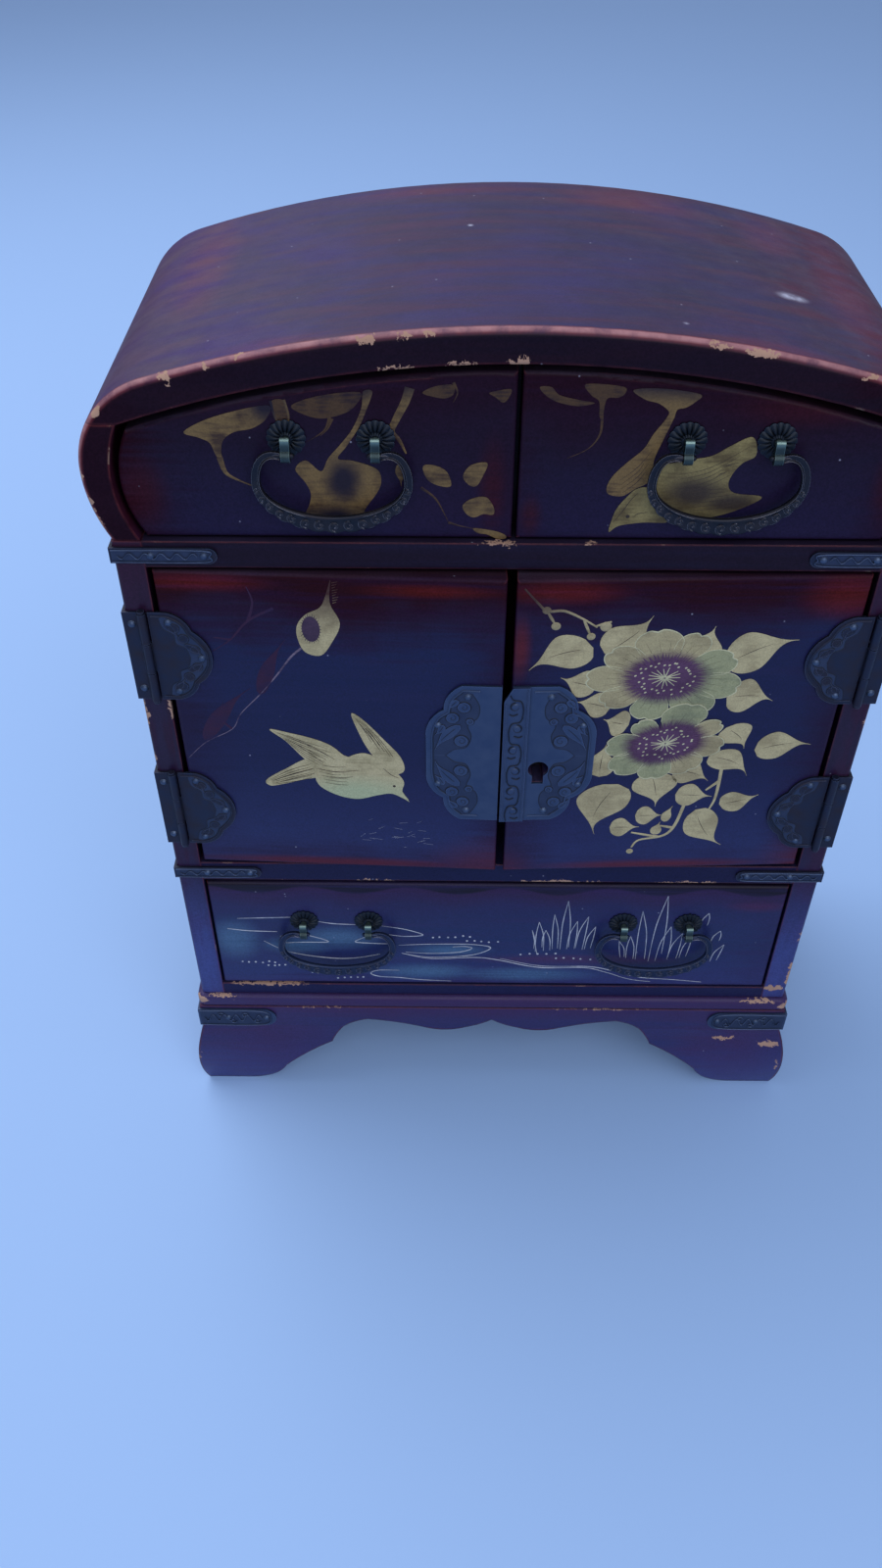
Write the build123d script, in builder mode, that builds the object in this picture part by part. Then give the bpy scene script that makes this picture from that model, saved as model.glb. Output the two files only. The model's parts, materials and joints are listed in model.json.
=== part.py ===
from build123d import *
import os
from math import cos, radians, sin, sqrt

# Lacquered jewellery cabinet: arched roof, two upper drawers, a pair of doors, a wide lower drawer.
# Millimetres, +Z up, the front looks towards -Y, the origin is on the floor under the middle.

# Case boards
case_width = 210.0
case_depth = 105.0
side_thickness = 8.0
back_thickness = 5.0
shelf_thickness = 7.8
bottom_thickness = 5.5
lower_opening_height = 54.6
cupboard_height = 112.8
case_edge_rounding = 1.0

# Roof and shoulders
crown_height = 57.0  # from the floor of the upper drawers to the crown
crown_radius = 317.0
roof_thickness = 8.5
joint_drop = 24.5  # from the crown to the joint of shoulder and roof
shoulder_bulge = 4.6  # how far the shoulder swells past the side board
shoulder_radius = 26.0
shoulder_wall = 8.0
opening_corner_inset = 11.5  # from the widest part of the shoulder to the opening's top corner
roof_edge_rounding = 2.2
panel_fit = 0.2  # round the curved top of the back panel and the divider
divider_thickness = 4.0

# Base moulding and bracket plinth
moulding_height = 6.0
moulding_overhang = 1.8
moulding_rounding = 1.7
plinth_height = 42.5
plinth_inset = 0.3  # from the edge of the moulding to the face of the plinth
plinth_thickness = 8.0
flare_start = 31.0  # height where the face of the plinth begins to swell
flare_peak = 15.0
flare_swell = 3.2
flare_toe = 1.2
foot_length = 15.5
apron_height = 35.7
bracket_shares = (
    (1.0, 0.0),
    (0.925, 0.067),
    (0.846, 0.30),
    (0.735, 0.555),
    (0.648, 0.686),
    (0.597, 0.874),
    (0.50, 0.994),
)
cusp_shares = ((0.385, 0.0208), (0.275, 0.0518), (0.137, 0.0581), (0.0, 0.0))
back_rail_drop = 18.0
foot_block_size = 10.0
foot_block_lift = 10.0

# Drawers
drawer_front_thickness = 8.0
drawer_front_rounding = 1.0
drawer_back_gap = 1.5
drawer_running_gap = 0.3
drawer_board = 4.0
drawer_bottom = 3.0
upper_recess = 2.0
upper_side_gap = 1.4
upper_top_gap = 2.8
upper_split_gap = 1.2
upper_box_drop = 6.5  # from the joint of shoulder and roof to the top of the drawer box
lower_recess = 0.4
lower_side_gap = 0.6
lower_top_gap = 2.2
lower_box_height = 42.0

# Doors, which stand a little ajar
door_thickness = 8.0
door_rounding = 1.0
door_hinge_gap = 1.3
door_height_gap = 1.2
door_ajar = 2.2  # degrees
meeting_gap = 2.4
meeting_bevel = 0.6  # the meeting edges lean back by this much
stop_width = 24.0
stop_depth = 5.0
stop_height = 5.0
stop_gap = 0.4

# Sheet metal and nails
sheet = 0.8
nail_head_radius = 1.15
nail_head_height = 0.7
nail_radius = 0.5
nail_length = 5.0
nail_fit = 0.1

# Hinges
hinge_inset = 4.7  # from the case's corner to the hinge axis
hinge_height = 30.0
upper_hinge_drop = 27.8  # from the top of the door to the middle of the hinge
lower_hinge_rise = 23.9
leaf_reach = 17.7
leaf_wrap = 7.0
leaf_relief = 0.3  # clears the stile behind the door leaf
knuckle_radius = 1.25
knuckle_lift = 0.1
knuckle_gap = 0.3
pin_radius = 0.55
pin_fit = 0.05
pin_head_radius = 1.0
pin_head_height = 0.8
leaf_lobe_shares = ((0.37, 1.0), (0.61, 0.85), (0.73, 0.60))
leaf_nail_shares = ((0.385, 0.79), (0.83, 0.0), (0.385, -0.79))
wing_nail_share = 0.74  # of the half height of the hinge

# Lock
plate_height = 52.0
plate_rise = 49.6  # from the bottom of the door to the middle of the plates
left_plate_width = 21.9
right_plate_width = 25.2
plate_edge_inset = 0.3
plate_corner_shares = ((0.53, 1.0), (0.72, 0.84), (0.765, 0.66))
plate_side_shares = ((0.765, 0.66), (0.925, 0.53), (1.0, 0.27))
plate_nail_shares = ((0.45, 0.85), (0.84, 0.44), (0.84, -0.44), (0.45, -0.85))
astragal_width = 7.2
astragal_thickness = 1.0
astragal_clearance = 0.3
astragal_corner = 2.4
keyhole_inset = 8.9
keyhole_drop = 5.2
keyhole_radius = 3.1
keyhole_slot_width = 3.4
keyhole_slot_depth = 5.7
lock_width = 22.0
lock_height = 34.0
lock_depth = 6.0
lock_edge_inset = 1.0
bolt_length = 13.0
bolt_height = 7.0
bolt_thickness = 2.4
bolt_rise = 5.5  # from the keyhole to the middle of the bolt
bolt_travel = 7.0
bolt_gap = 0.35
keeper_width = 8.0
keeper_height = 14.0
keeper_gap = 0.8

# Corner straps
strap_reach = 27.5
strap_wrap = 12.0
rail_strap_height = 4.6
plinth_strap_height = 9.1
plinth_strap_drop = 1.1  # from the moulding to the top of the strap
strap_tip_share = 0.45  # of the strap's height
strap_nail_insets = (10.0, 24.0)
strap_side_nail = 7.0

# Pulls
post_spacing = 22.0
upper_pull_share = 0.502  # of the crown height
upper_left_pull_x = -46.0
upper_right_pull_x = 52.5
lower_pull_rise = 34.1
lower_pull_x = 54.3
rosette_radius = 4.9
rosette_petals = 16
rosette_petal_radius = 0.9
rosette_thickness = 0.9
post_radius = 1.0
post_fit = 0.1
clinch_radius = 2.2
clinch_thickness = 0.8
eye_radius = 1.7
eye_length = 2.2
eye_drop = 3.0  # from the post to the eye that hangs from it
link_thickness = 1.6
pivot_stand = 3.8
bail_overhang = 9.2  # from the middle of a post to the side of the bail
bail_drop = 20.4
bail_waist_drop = 7.2
bail_side_width = 2.3
bail_bottom_width = 3.7
bail_neck_height = 2.0
bail_thickness = 1.5
bail_pin_radius = 0.75
bail_pin_fit = 0.05
bail_pin_end = 1.0
bail_side_gap = 0.4

overrun = 2.0  # past a face, for cuts

# Levels and faces that follow from these
half_width = case_width / 2
inner_half = half_width - side_thickness
case_bottom = plinth_height + moulding_height
lower_floor = case_bottom + bottom_thickness
lower_shelf_bottom = lower_floor + lower_opening_height
cupboard_floor = lower_shelf_bottom + shelf_thickness
mid_shelf_bottom = cupboard_floor + cupboard_height
upper_floor = mid_shelf_bottom + shelf_thickness
crown_top = upper_floor + crown_height
joint_level = crown_top - joint_drop
joint_height = crown_height - joint_drop
front_y = (pivot_stand + eye_radius - case_depth) / 2
back_face = front_y + case_depth - back_thickness

# Roof arc, shoulder arcs tangent to it, and the arc of the soffit
shoulder_x = half_width + shoulder_bulge
shoulder_mid_x = shoulder_x - shoulder_radius
crown_mid_z = crown_top - crown_radius
shoulder_mid_z = crown_mid_z + sqrt((crown_radius - shoulder_radius) ** 2 - shoulder_mid_x**2)
arc_scale = crown_radius / (crown_radius - shoulder_radius)
tangent_x = shoulder_mid_x * arc_scale
tangent_z = crown_mid_z + (shoulder_mid_z - crown_mid_z) * arc_scale
joint_x = shoulder_mid_x + sqrt(shoulder_radius**2 - (joint_level - shoulder_mid_z) ** 2)
opening_corner_x = shoulder_x - opening_corner_inset
soffit_top = crown_top - roof_thickness
soffit_sag = soffit_top - joint_level
soffit_radius = (opening_corner_x**2 + soffit_sag**2) / (soffit_sag + soffit_sag)
soffit_mid_z = soffit_top - soffit_radius

# Hinge axis and door edges, as distances from the axis along the door
hinge_x = half_width - hinge_inset
knuckle_stand = knuckle_radius + knuckle_lift
hinge_y = front_y - knuckle_stand
door_hinge_edge = hinge_x - inner_half + door_hinge_gap
door_free_edge = hinge_x - meeting_gap / 2
door_bottom = cupboard_floor + door_height_gap
door_top = mid_shelf_bottom - door_height_gap
hinge_levels = (door_bottom + lower_hinge_rise, door_top - upper_hinge_drop)
plate_level = door_bottom + plate_rise
keyhole_level = plate_level - keyhole_drop
bolt_level = keyhole_level + bolt_rise
bolt_reach = bolt_travel - lock_edge_inset - meeting_gap - lock_edge_inset
keeper_pocket = bolt_reach + keeper_gap + keeper_gap

# Base faces
plinth_half = half_width + moulding_overhang - plinth_inset
plinth_front_y = front_y - moulding_overhang + plinth_inset
plinth_back_y = front_y + case_depth
rail_levels = (lower_shelf_bottom + shelf_thickness / 2, mid_shelf_bottom + shelf_thickness / 2)
plinth_strap_level = plinth_height - plinth_strap_drop - plinth_strap_height / 2

# Drawer places
upper_drawer_floor = upper_floor + drawer_running_gap
lower_drawer_floor = lower_floor + drawer_running_gap
upper_pull_level = upper_floor + upper_pull_share * crown_height
upper_box_height = joint_height - upper_box_drop
lower_pull_level = lower_floor + lower_pull_rise
upper_pivot_level = upper_pull_level - eye_drop
lower_pivot_level = lower_pull_level - eye_drop
drawer_back_y = back_face - drawer_back_gap
bail_half_width = post_spacing / 2 + bail_overhang

sides = {"left": -1, "right": 1}

os.makedirs("parts", exist_ok=True)


def save(piece, name):
    piece.part.label = name
    export_step(piece.part, f"parts/{name}.step")


def facing_front(depth):
    # Upright plane that looks forward, so many millimetres behind the case's front.
    return Plane((0, front_y + depth, 0), x_dir=(1, 0, 0), z_dir=(0, -1, 0))


def facing_side(side, x):
    # Upright plane that looks out of the cabinet's side, starting at the case's front.
    return Plane((side * x, front_y, 0), x_dir=(0, side, 0), z_dir=(side, 0, 0))


def door_face(side, depth=0):
    # Plane of a door's front, or so far behind it, from the hinge axis, turned to stand ajar.
    turn = radians(door_ajar)
    out = Vector(side * sin(turn), -cos(turn), 0)
    foot = Vector(side * hinge_x, hinge_y, 0) - out * (knuckle_stand + depth)
    return Plane(foot, x_dir=(cos(turn), side * sin(turn), 0), z_dir=out)


def on_door(side, along, level):
    # Point on a door's plane, measured from the hinge axis towards the free edge.
    return (-side * along, level)


def board(name, x_span, y_span, z_span):
    spans = (x_span, y_span, z_span)
    with BuildPart() as piece:
        with Locations(tuple((low + high) / 2 for low, high in spans)):
            Box(*(high - low for low, high in spans))
    save(piece, name)


def drill_nails(places):
    with Locations(*places):
        Cylinder(
            nail_radius + nail_fit,
            nail_length + nail_fit,
            align=(Align.CENTER, Align.CENTER, Align.MAX),
            mode=Mode.SUBTRACT,
        )


def soffit_level(x, gap):
    return soffit_mid_z + sqrt((soffit_radius - gap) ** 2 - x**2)


# Nail with a domed head, its head's underside on the origin
with BuildPart() as nail:
    with BuildSketch(Plane.XZ):
        with BuildLine():
            Polyline(
                (nail_head_radius, 0),
                (nail_radius, 0),
                (nail_radius, -nail_length),
                (0, -nail_length),
                (0, nail_head_height),
            )
            TangentArc((0, nail_head_height), (nail_head_radius, 0), tangent=(1, 0))
        make_face()
    revolve(axis=Axis.Z)


# Places of the nails, on the outside of the sheet metal
def strap_nails(side, corner_x, face_y, level):
    front = Plane((0, face_y - sheet, level), x_dir=(1, 0, 0), z_dir=(0, -1, 0))
    flank = Plane((side * (corner_x + sheet), face_y, level), x_dir=(0, side, 0), z_dir=(side, 0, 0))
    places = [front * Pos(side * (corner_x - inset), 0) for inset in strap_nail_insets]
    return places + [flank * Pos(side * strap_side_nail, 0)]


def wing_nails(side, level):
    front = facing_front(-sheet)
    flank = facing_side(side, half_width + sheet)
    middle = half_width - (hinge_inset - knuckle_radius - knuckle_gap) / 2
    places = []
    for end in (-1, 1):
        height = level + end * wing_nail_share * hinge_height / 2
        places.append(front * Pos(side * middle, height))
        places.append(flank * Pos(side * leaf_wrap / 2, height))
    return places


def door_nails(side, plate_width):
    outside = door_face(side, -sheet)
    places = []
    for level in hinge_levels:
        for along, height in leaf_nail_shares:
            spot = on_door(side, along * leaf_reach, level + height * hinge_height / 2)
            places.append(outside * Pos(*spot))
    for inset, height in plate_nail_shares:
        spot = on_door(side, door_free_edge - inset * plate_width, plate_level + height * plate_height / 2)
        places.append(outside * Pos(*spot))
    return places


rail_nails = {
    (side, level): strap_nails(side, half_width, front_y, level)
    for side in sides.values()
    for level in rail_levels
}
plinth_nails = {
    side: strap_nails(side, plinth_half, plinth_front_y, plinth_strap_level) for side in sides.values()
}
hinge_nails = {(side, level): wing_nails(side, level) for side in sides.values() for level in hinge_levels}

# Roof: the whole arch, its front edge rounded, then hollowed by the soffit
with BuildPart() as arched_top:
    with BuildSketch(facing_front(0)):
        with BuildLine():
            ThreePointArc((-tangent_x, tangent_z), (0, crown_top), (tangent_x, tangent_z))
            for side in sides.values():
                lean = (-side * (joint_level - shoulder_mid_z), joint_x - shoulder_mid_x)
                TangentArc((side * joint_x, joint_level), (side * tangent_x, tangent_z), tangent=lean)
            Line((-joint_x, joint_level), (joint_x, joint_level))
        make_face()
    extrude(amount=-case_depth)
    rims = arched_top.faces().sort_by(Axis.Y)
    fillet((rims[0].edges() + rims[-1].edges()).filter_by(GeomType.CIRCLE), roof_edge_rounding)
    with BuildSketch(facing_front(-overrun)):
        with BuildLine():
            ThreePointArc((-opening_corner_x, joint_level), (0, soffit_top), (opening_corner_x, joint_level))
            Line((-opening_corner_x, joint_level), (opening_corner_x, joint_level))
        make_face()
    extrude(amount=-case_depth - overrun - overrun, mode=Mode.SUBTRACT)
save(arched_top, "arched_top")

# Swelling shoulders under the roof
for word, side in sides.items():
    with BuildPart() as shoulder:
        with BuildSketch(facing_front(0)):
            with BuildLine():
                widest = (side * shoulder_x, shoulder_mid_z)
                TangentArc(widest, (side * half_width, upper_floor), tangent=(0, -1))
                TangentArc(widest, (side * joint_x, joint_level), tangent=(0, 1))
                Polyline(
                    (side * joint_x, joint_level),
                    (side * (inner_half - overrun), joint_level),
                    (side * (inner_half - overrun), upper_floor),
                    (side * half_width, upper_floor),
                )
            make_face()
        extrude(amount=-case_depth)
        rims = shoulder.faces().sort_by(Axis.Y)
        fillet((rims[0].edges() + rims[-1].edges()).filter_by(GeomType.CIRCLE), roof_edge_rounding)
        with BuildSketch(facing_front(-overrun)):
            with BuildLine():
                ThreePointArc(
                    (side * inner_half, upper_floor),
                    (side * (shoulder_x - shoulder_wall), upper_floor + joint_height / 2),
                    (side * opening_corner_x, joint_level),
                )
                Polyline(
                    (side * opening_corner_x, joint_level),
                    (side * (inner_half - overrun - overrun), joint_level),
                    (side * (inner_half - overrun - overrun), upper_floor),
                    (side * inner_half, upper_floor),
                )
            make_face()
        extrude(amount=-case_depth - overrun - overrun, mode=Mode.SUBTRACT)
    save(shoulder, f"{word}_shoulder")

# Upright sides, with the outer front corner rounded
for word, side in sides.items():
    with BuildPart() as case_side:
        with Locations((side * (half_width + inner_half) / 2, front_y + case_depth / 2, case_bottom)):
            Box(
                side_thickness,
                case_depth,
                upper_floor - case_bottom,
                align=(Align.CENTER, Align.CENTER, Align.MIN),
            )
        corner = case_side.edges().filter_by(Axis.Z).group_by(Axis.Y)[0].sort_by(Axis.X)
        fillet(corner[-1] if side > 0 else corner[0], case_edge_rounding)
        for level in hinge_levels:
            drill_nails(hinge_nails[side, level])
        for level in rail_levels:
            drill_nails(rail_nails[side, level])
    save(case_side, f"{word}_side")

# Shelves behind the two rails, and the bottom board
for name, low in (("mid_shelf", mid_shelf_bottom), ("lower_shelf", lower_shelf_bottom)):
    with BuildPart() as shelf:
        with Locations((0, front_y, low)):
            Box(
                inner_half + inner_half,
                case_depth - back_thickness,
                shelf_thickness,
                align=(Align.CENTER, Align.MIN, Align.MIN),
            )
        for side in sides.values():
            drill_nails(rail_nails[side, low + shelf_thickness / 2])
    save(shelf, name)

board("bottom_board", (-inner_half, inner_half), (front_y, back_face), (case_bottom, lower_floor))

# Back panel, with its top curved to fill the arch
with BuildPart() as back_panel:
    with BuildSketch(facing_front(case_depth)):
        with BuildLine():
            corner_x = opening_corner_x - panel_fit
            corner_z = soffit_level(corner_x, panel_fit)
            ThreePointArc((-corner_x, corner_z), (0, soffit_top - panel_fit), (corner_x, corner_z))
            for side in sides.values():
                ThreePointArc(
                    (side * (inner_half - panel_fit), upper_floor),
                    (side * (shoulder_x - shoulder_wall - panel_fit), upper_floor + joint_height / 2),
                    (side * corner_x, corner_z),
                )
            Polyline(
                (-inner_half + panel_fit, upper_floor),
                (-inner_half, upper_floor),
                (-inner_half, case_bottom),
                (inner_half, case_bottom),
                (inner_half, upper_floor),
                (inner_half - panel_fit, upper_floor),
            )
        make_face()
    extrude(amount=back_thickness)
save(back_panel, "back_panel")

board(
    "drawer_divider",
    (-divider_thickness / 2, divider_thickness / 2),
    (front_y + upper_recess + drawer_front_thickness + drawer_running_gap, back_face),
    (upper_floor, soffit_level(divider_thickness / 2, panel_fit)),
)

# Base moulding, rounded at the front and the sides
with BuildPart() as base_moulding:
    with Locations((0, front_y - moulding_overhang, plinth_height)):
        Box(
            case_width + moulding_overhang + moulding_overhang,
            case_depth + moulding_overhang,
            moulding_height,
            align=(Align.CENTER, Align.MIN, Align.MIN),
        )
    front_corners = base_moulding.edges().filter_by(Axis.Z).group_by(Axis.Y)[0]
    fillet(front_corners, moulding_rounding + case_edge_rounding)
    flats = base_moulding.faces().filter_by(Axis.Z)
    rim = flats[0].edges() + flats[1].edges()
    fillet(rim - rim.group_by(Axis.Y)[-1], moulding_rounding)
save(base_moulding, "base_moulding")


def apron_points(half_span):
    # Scallop from the foot to the middle: the brackets follow the height, the cusp follows the span.
    brackets = [(along * half_span, height * apron_height) for along, height in bracket_shares]
    cusp = [(along * half_span, apron_height - drop * half_span) for along, drop in cusp_shares]
    return brackets + cusp


def mitre(side):
    return Plane((side * plinth_half, plinth_front_y, 0), z_dir=(side, 1, 0))


# Front of the plinth: a swelling board, scalloped below and mitred at both ends
with BuildPart() as plinth_front:
    with BuildSketch(Plane.YZ):
        with BuildLine():
            Polyline(
                (plinth_front_y, flare_start),
                (plinth_front_y, plinth_height),
                (plinth_front_y + plinth_thickness, plinth_height),
                (plinth_front_y + plinth_thickness, 0),
                (plinth_front_y - flare_toe, 0),
            )
            ThreePointArc(
                (plinth_front_y - flare_toe, 0),
                (plinth_front_y - flare_swell, flare_peak),
                (plinth_front_y, flare_start),
            )
        make_face()
    extrude(amount=plinth_half + flare_swell + overrun, both=True)
    with BuildSketch(facing_front(case_depth)):
        with BuildLine():
            scallop = apron_points(plinth_half - foot_length)
            for side in sides.values():
                for first in range(0, len(scallop) - 1, 2):
                    ThreePointArc(*((side * x, z) for x, z in scallop[first : first + 3]))
                Line((side * scallop[0][0], 0), (side * scallop[0][0], -overrun))
            Line((-scallop[0][0], -overrun), (scallop[0][0], -overrun))
        make_face()
    extrude(amount=case_depth + case_depth, mode=Mode.SUBTRACT)
    for side in sides.values():
        split(bisect_by=mitre(side), keep=Keep.BOTTOM)
        drill_nails(plinth_nails[side])
save(plinth_front, "plinth_front")

# Sides of the plinth, of the same section and with a shorter scallop
plinth_mid_y = (plinth_front_y + plinth_back_y) / 2
for word, side in sides.items():
    with BuildPart() as plinth_side:
        with BuildSketch(Plane((0, plinth_back_y, 0), x_dir=(1, 0, 0), z_dir=(0, -1, 0))):
            with BuildLine():
                Polyline(
                    (side * plinth_half, flare_start),
                    (side * plinth_half, plinth_height),
                    (side * (plinth_half - plinth_thickness), plinth_height),
                    (side * (plinth_half - plinth_thickness), 0),
                    (side * (plinth_half + flare_toe), 0),
                )
                ThreePointArc(
                    (side * (plinth_half + flare_toe), 0),
                    (side * (plinth_half + flare_swell), flare_peak),
                    (side * plinth_half, flare_start),
                )
            make_face()
        extrude(amount=plinth_back_y - plinth_front_y + flare_swell + overrun)
        with BuildSketch(Plane.YZ):
            with BuildLine():
                scallop = apron_points(plinth_back_y - plinth_mid_y - foot_length)
                for end in (-1, 1):
                    for first in range(0, len(scallop) - 1, 2):
                        ThreePointArc(*((plinth_mid_y + end * y, z) for y, z in scallop[first : first + 3]))
                    foot_y = plinth_mid_y + end * scallop[0][0]
                    Line((foot_y, 0), (foot_y, -overrun))
                Line((plinth_mid_y - scallop[0][0], -overrun), (plinth_mid_y + scallop[0][0], -overrun))
            make_face()
        extrude(amount=case_width, both=True, mode=Mode.SUBTRACT)
        split(bisect_by=mitre(side), keep=Keep.TOP)
        drill_nails(plinth_nails[side])
    save(plinth_side, f"plinth_{word}")

plinth_inner = plinth_half - plinth_thickness
board(
    "plinth_back",
    (-plinth_inner, plinth_inner),
    (plinth_back_y - plinth_thickness, plinth_back_y),
    (plinth_height - back_rail_drop, plinth_height),
)

# Glue blocks in the corners of the plinth
with BuildPart() as foot_blocks:
    block_front_y = plinth_front_y + plinth_thickness + foot_block_size / 2
    block_back_y = plinth_back_y - plinth_thickness - foot_block_size / 2
    for block_y in (block_front_y, block_back_y):
        for side in sides.values():
            with Locations((side * (plinth_inner - foot_block_size / 2), block_y, foot_block_lift)):
                Box(
                    foot_block_size,
                    foot_block_size,
                    plinth_height - foot_block_lift,
                    align=(Align.CENTER, Align.CENTER, Align.MIN),
                )
save(foot_blocks, "foot_blocks")


def strap(side, corner_x, face_y, level, height, nails):
    # Thin band with a rounded tip on the front, bent round the corner onto the side.
    tip = side * (corner_x - strap_reach)
    tip_start = tip + side * strap_tip_share * height
    bend = side * (corner_x + sheet)
    with BuildPart() as band:
        with BuildSketch(Plane((0, face_y, level), x_dir=(1, 0, 0), z_dir=(0, -1, 0))):
            with BuildLine():
                Polyline(
                    (tip_start, height / 2),
                    (bend, height / 2),
                    (bend, -height / 2),
                    (tip_start, -height / 2),
                )
                ThreePointArc((tip_start, height / 2), (tip, 0), (tip_start, -height / 2))
            make_face()
        extrude(amount=sheet)
        with Locations((side * (corner_x + sheet / 2), face_y - sheet, level)):
            Box(sheet, strap_wrap + sheet, height, align=(Align.CENTER, Align.MIN, Align.CENTER))
        drill_nails(nails)
    return band.part


with BuildPart() as rail_straps:
    for (side, level), nails in rail_nails.items():
        add(strap(side, half_width, front_y, level, rail_strap_height, nails))
save(rail_straps, "rail_straps")

with BuildPart() as plinth_straps:
    for side, nails in plinth_nails.items():
        add(strap(side, plinth_half, plinth_front_y, plinth_strap_level, plinth_strap_height, nails))
save(plinth_straps, "plinth_straps")

with BuildPart() as case_nails:
    for places in (*rail_nails.values(), *plinth_nails.values(), *hinge_nails.values()):
        with Locations(*places):
            add(nail.part)
save(case_nails, "case_nails")

# Hinges: three knuckles, the outer two on the case and the middle one on the door
knuckle_height = (hinge_height - knuckle_gap - knuckle_gap) / 3
leaf_edge = knuckle_radius + knuckle_gap
knuckle_offset = (hinge_height - knuckle_height) / 2
bore_radius = pin_radius + pin_fit


def case_leaf(side, level):
    with BuildPart() as leaf:
        with BuildSketch(facing_front(0)):
            with Locations((side * (half_width + sheet + hinge_x + leaf_edge) / 2, level)):
                Rectangle(half_width + sheet - hinge_x - leaf_edge, hinge_height)
            for end in (-1, 1):
                with Locations((side * (hinge_x + leaf_edge / 2), level + end * knuckle_offset)):
                    Rectangle(leaf_edge, knuckle_height)
        extrude(amount=sheet)
        with Locations((side * (half_width + sheet / 2), front_y - sheet, level)):
            Box(sheet, leaf_wrap + sheet, hinge_height, align=(Align.CENTER, Align.MIN, Align.CENTER))
        for end in (-1, 1):
            with Locations((side * hinge_x, hinge_y, level + end * knuckle_offset)):
                Cylinder(knuckle_radius, knuckle_height)
        with Locations((side * hinge_x, hinge_y, level)):
            Cylinder(bore_radius, hinge_height + overrun, mode=Mode.SUBTRACT)
        drill_nails(hinge_nails[side, level])
    return leaf.part


def door_leaf(side, level, nails):
    # Leaf with three lobes on the door, with a tab to the middle knuckle.
    half_height = hinge_height / 2
    lobe = [(along * leaf_reach, height * half_height) for along, height in leaf_lobe_shares]
    with BuildPart() as leaf:
        with BuildSketch(door_face(side)):
            with BuildLine():
                corners = [on_door(side, leaf_edge, level + end * half_height) for end in (-1, 1)]
                for corner, end in zip(corners, (-1, 1)):
                    bow = [on_door(side, along, level + end * height) for along, height in lobe]
                    ThreePointArc(*bow)
                    Line(corner, bow[0])
                ThreePointArc(
                    on_door(side, lobe[2][0], level + lobe[2][1]),
                    on_door(side, leaf_reach, level),
                    on_door(side, lobe[2][0], level - lobe[2][1]),
                )
                Line(*corners)
            make_face()
            with Locations(on_door(side, leaf_edge / 2, level)):
                Rectangle(leaf_edge, knuckle_height)
        extrude(amount=sheet)
        relief_reach = door_hinge_edge - door_hinge_gap / 2
        with BuildSketch(door_face(side)):
            with Locations(on_door(side, relief_reach / 2, level)):
                Rectangle(relief_reach, hinge_height + overrun)
        extrude(amount=leaf_relief, mode=Mode.SUBTRACT)
        with Locations((side * hinge_x, hinge_y, level)):
            Cylinder(knuckle_radius, knuckle_height)
            Cylinder(bore_radius, hinge_height + overrun, mode=Mode.SUBTRACT)
        drill_nails(nails)
    return leaf.part


with BuildPart() as hinge_pins:
    for side in sides.values():
        for level in hinge_levels:
            with Locations((side * hinge_x, hinge_y, level)):
                Cylinder(pin_radius, hinge_height)
            for end in (-1, 1):
                with Locations((side * hinge_x, hinge_y, level + end * (hinge_height + pin_head_height) / 2)):
                    Cylinder(pin_head_radius, pin_head_height)
save(hinge_pins, "hinge_pins")

board(
    "door_stop",
    (-stop_width / 2, stop_width / 2),
    (front_y + door_thickness + stop_gap, front_y + door_thickness + stop_gap + stop_depth),
    (mid_shelf_bottom - stop_height, mid_shelf_bottom),
)


def keyhole(plane):
    # Round hole with a slot below it, drawn where the key goes in.
    spot = on_door(1, door_free_edge - keyhole_inset, keyhole_level)
    with BuildSketch(plane) as shape:
        with Locations(spot):
            Circle(keyhole_radius)
            Rectangle(keyhole_slot_width, keyhole_slot_depth, align=(Align.CENTER, Align.MAX))
    return shape.sketch


def lock_plate(side, width, nails):
    # Plate with stepped round corners along the meeting edge of a door.
    half_height = plate_height / 2
    corner = [(inset * width, height * half_height) for inset, height in plate_corner_shares]
    flank = [(inset * width, height * half_height) for inset, height in plate_side_shares]

    def spot(inset, height):
        return on_door(side, door_free_edge - inset, plate_level + height)

    with BuildPart() as plate:
        with BuildSketch(door_face(side)):
            with BuildLine():
                for end in (-1, 1):
                    Line(spot(plate_edge_inset, end * half_height), spot(corner[0][0], end * half_height))
                    for bow in (corner, flank):
                        ThreePointArc(*(spot(inset, end * height) for inset, height in bow))
                Line(spot(width, -flank[2][1]), spot(width, flank[2][1]))
                Line(spot(plate_edge_inset, -half_height), spot(plate_edge_inset, half_height))
            make_face()
        extrude(amount=sheet)
        if side > 0:
            extrude(keyhole(door_face(side)), amount=sheet, mode=Mode.SUBTRACT)
        drill_nails(nails)
    return plate


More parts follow.
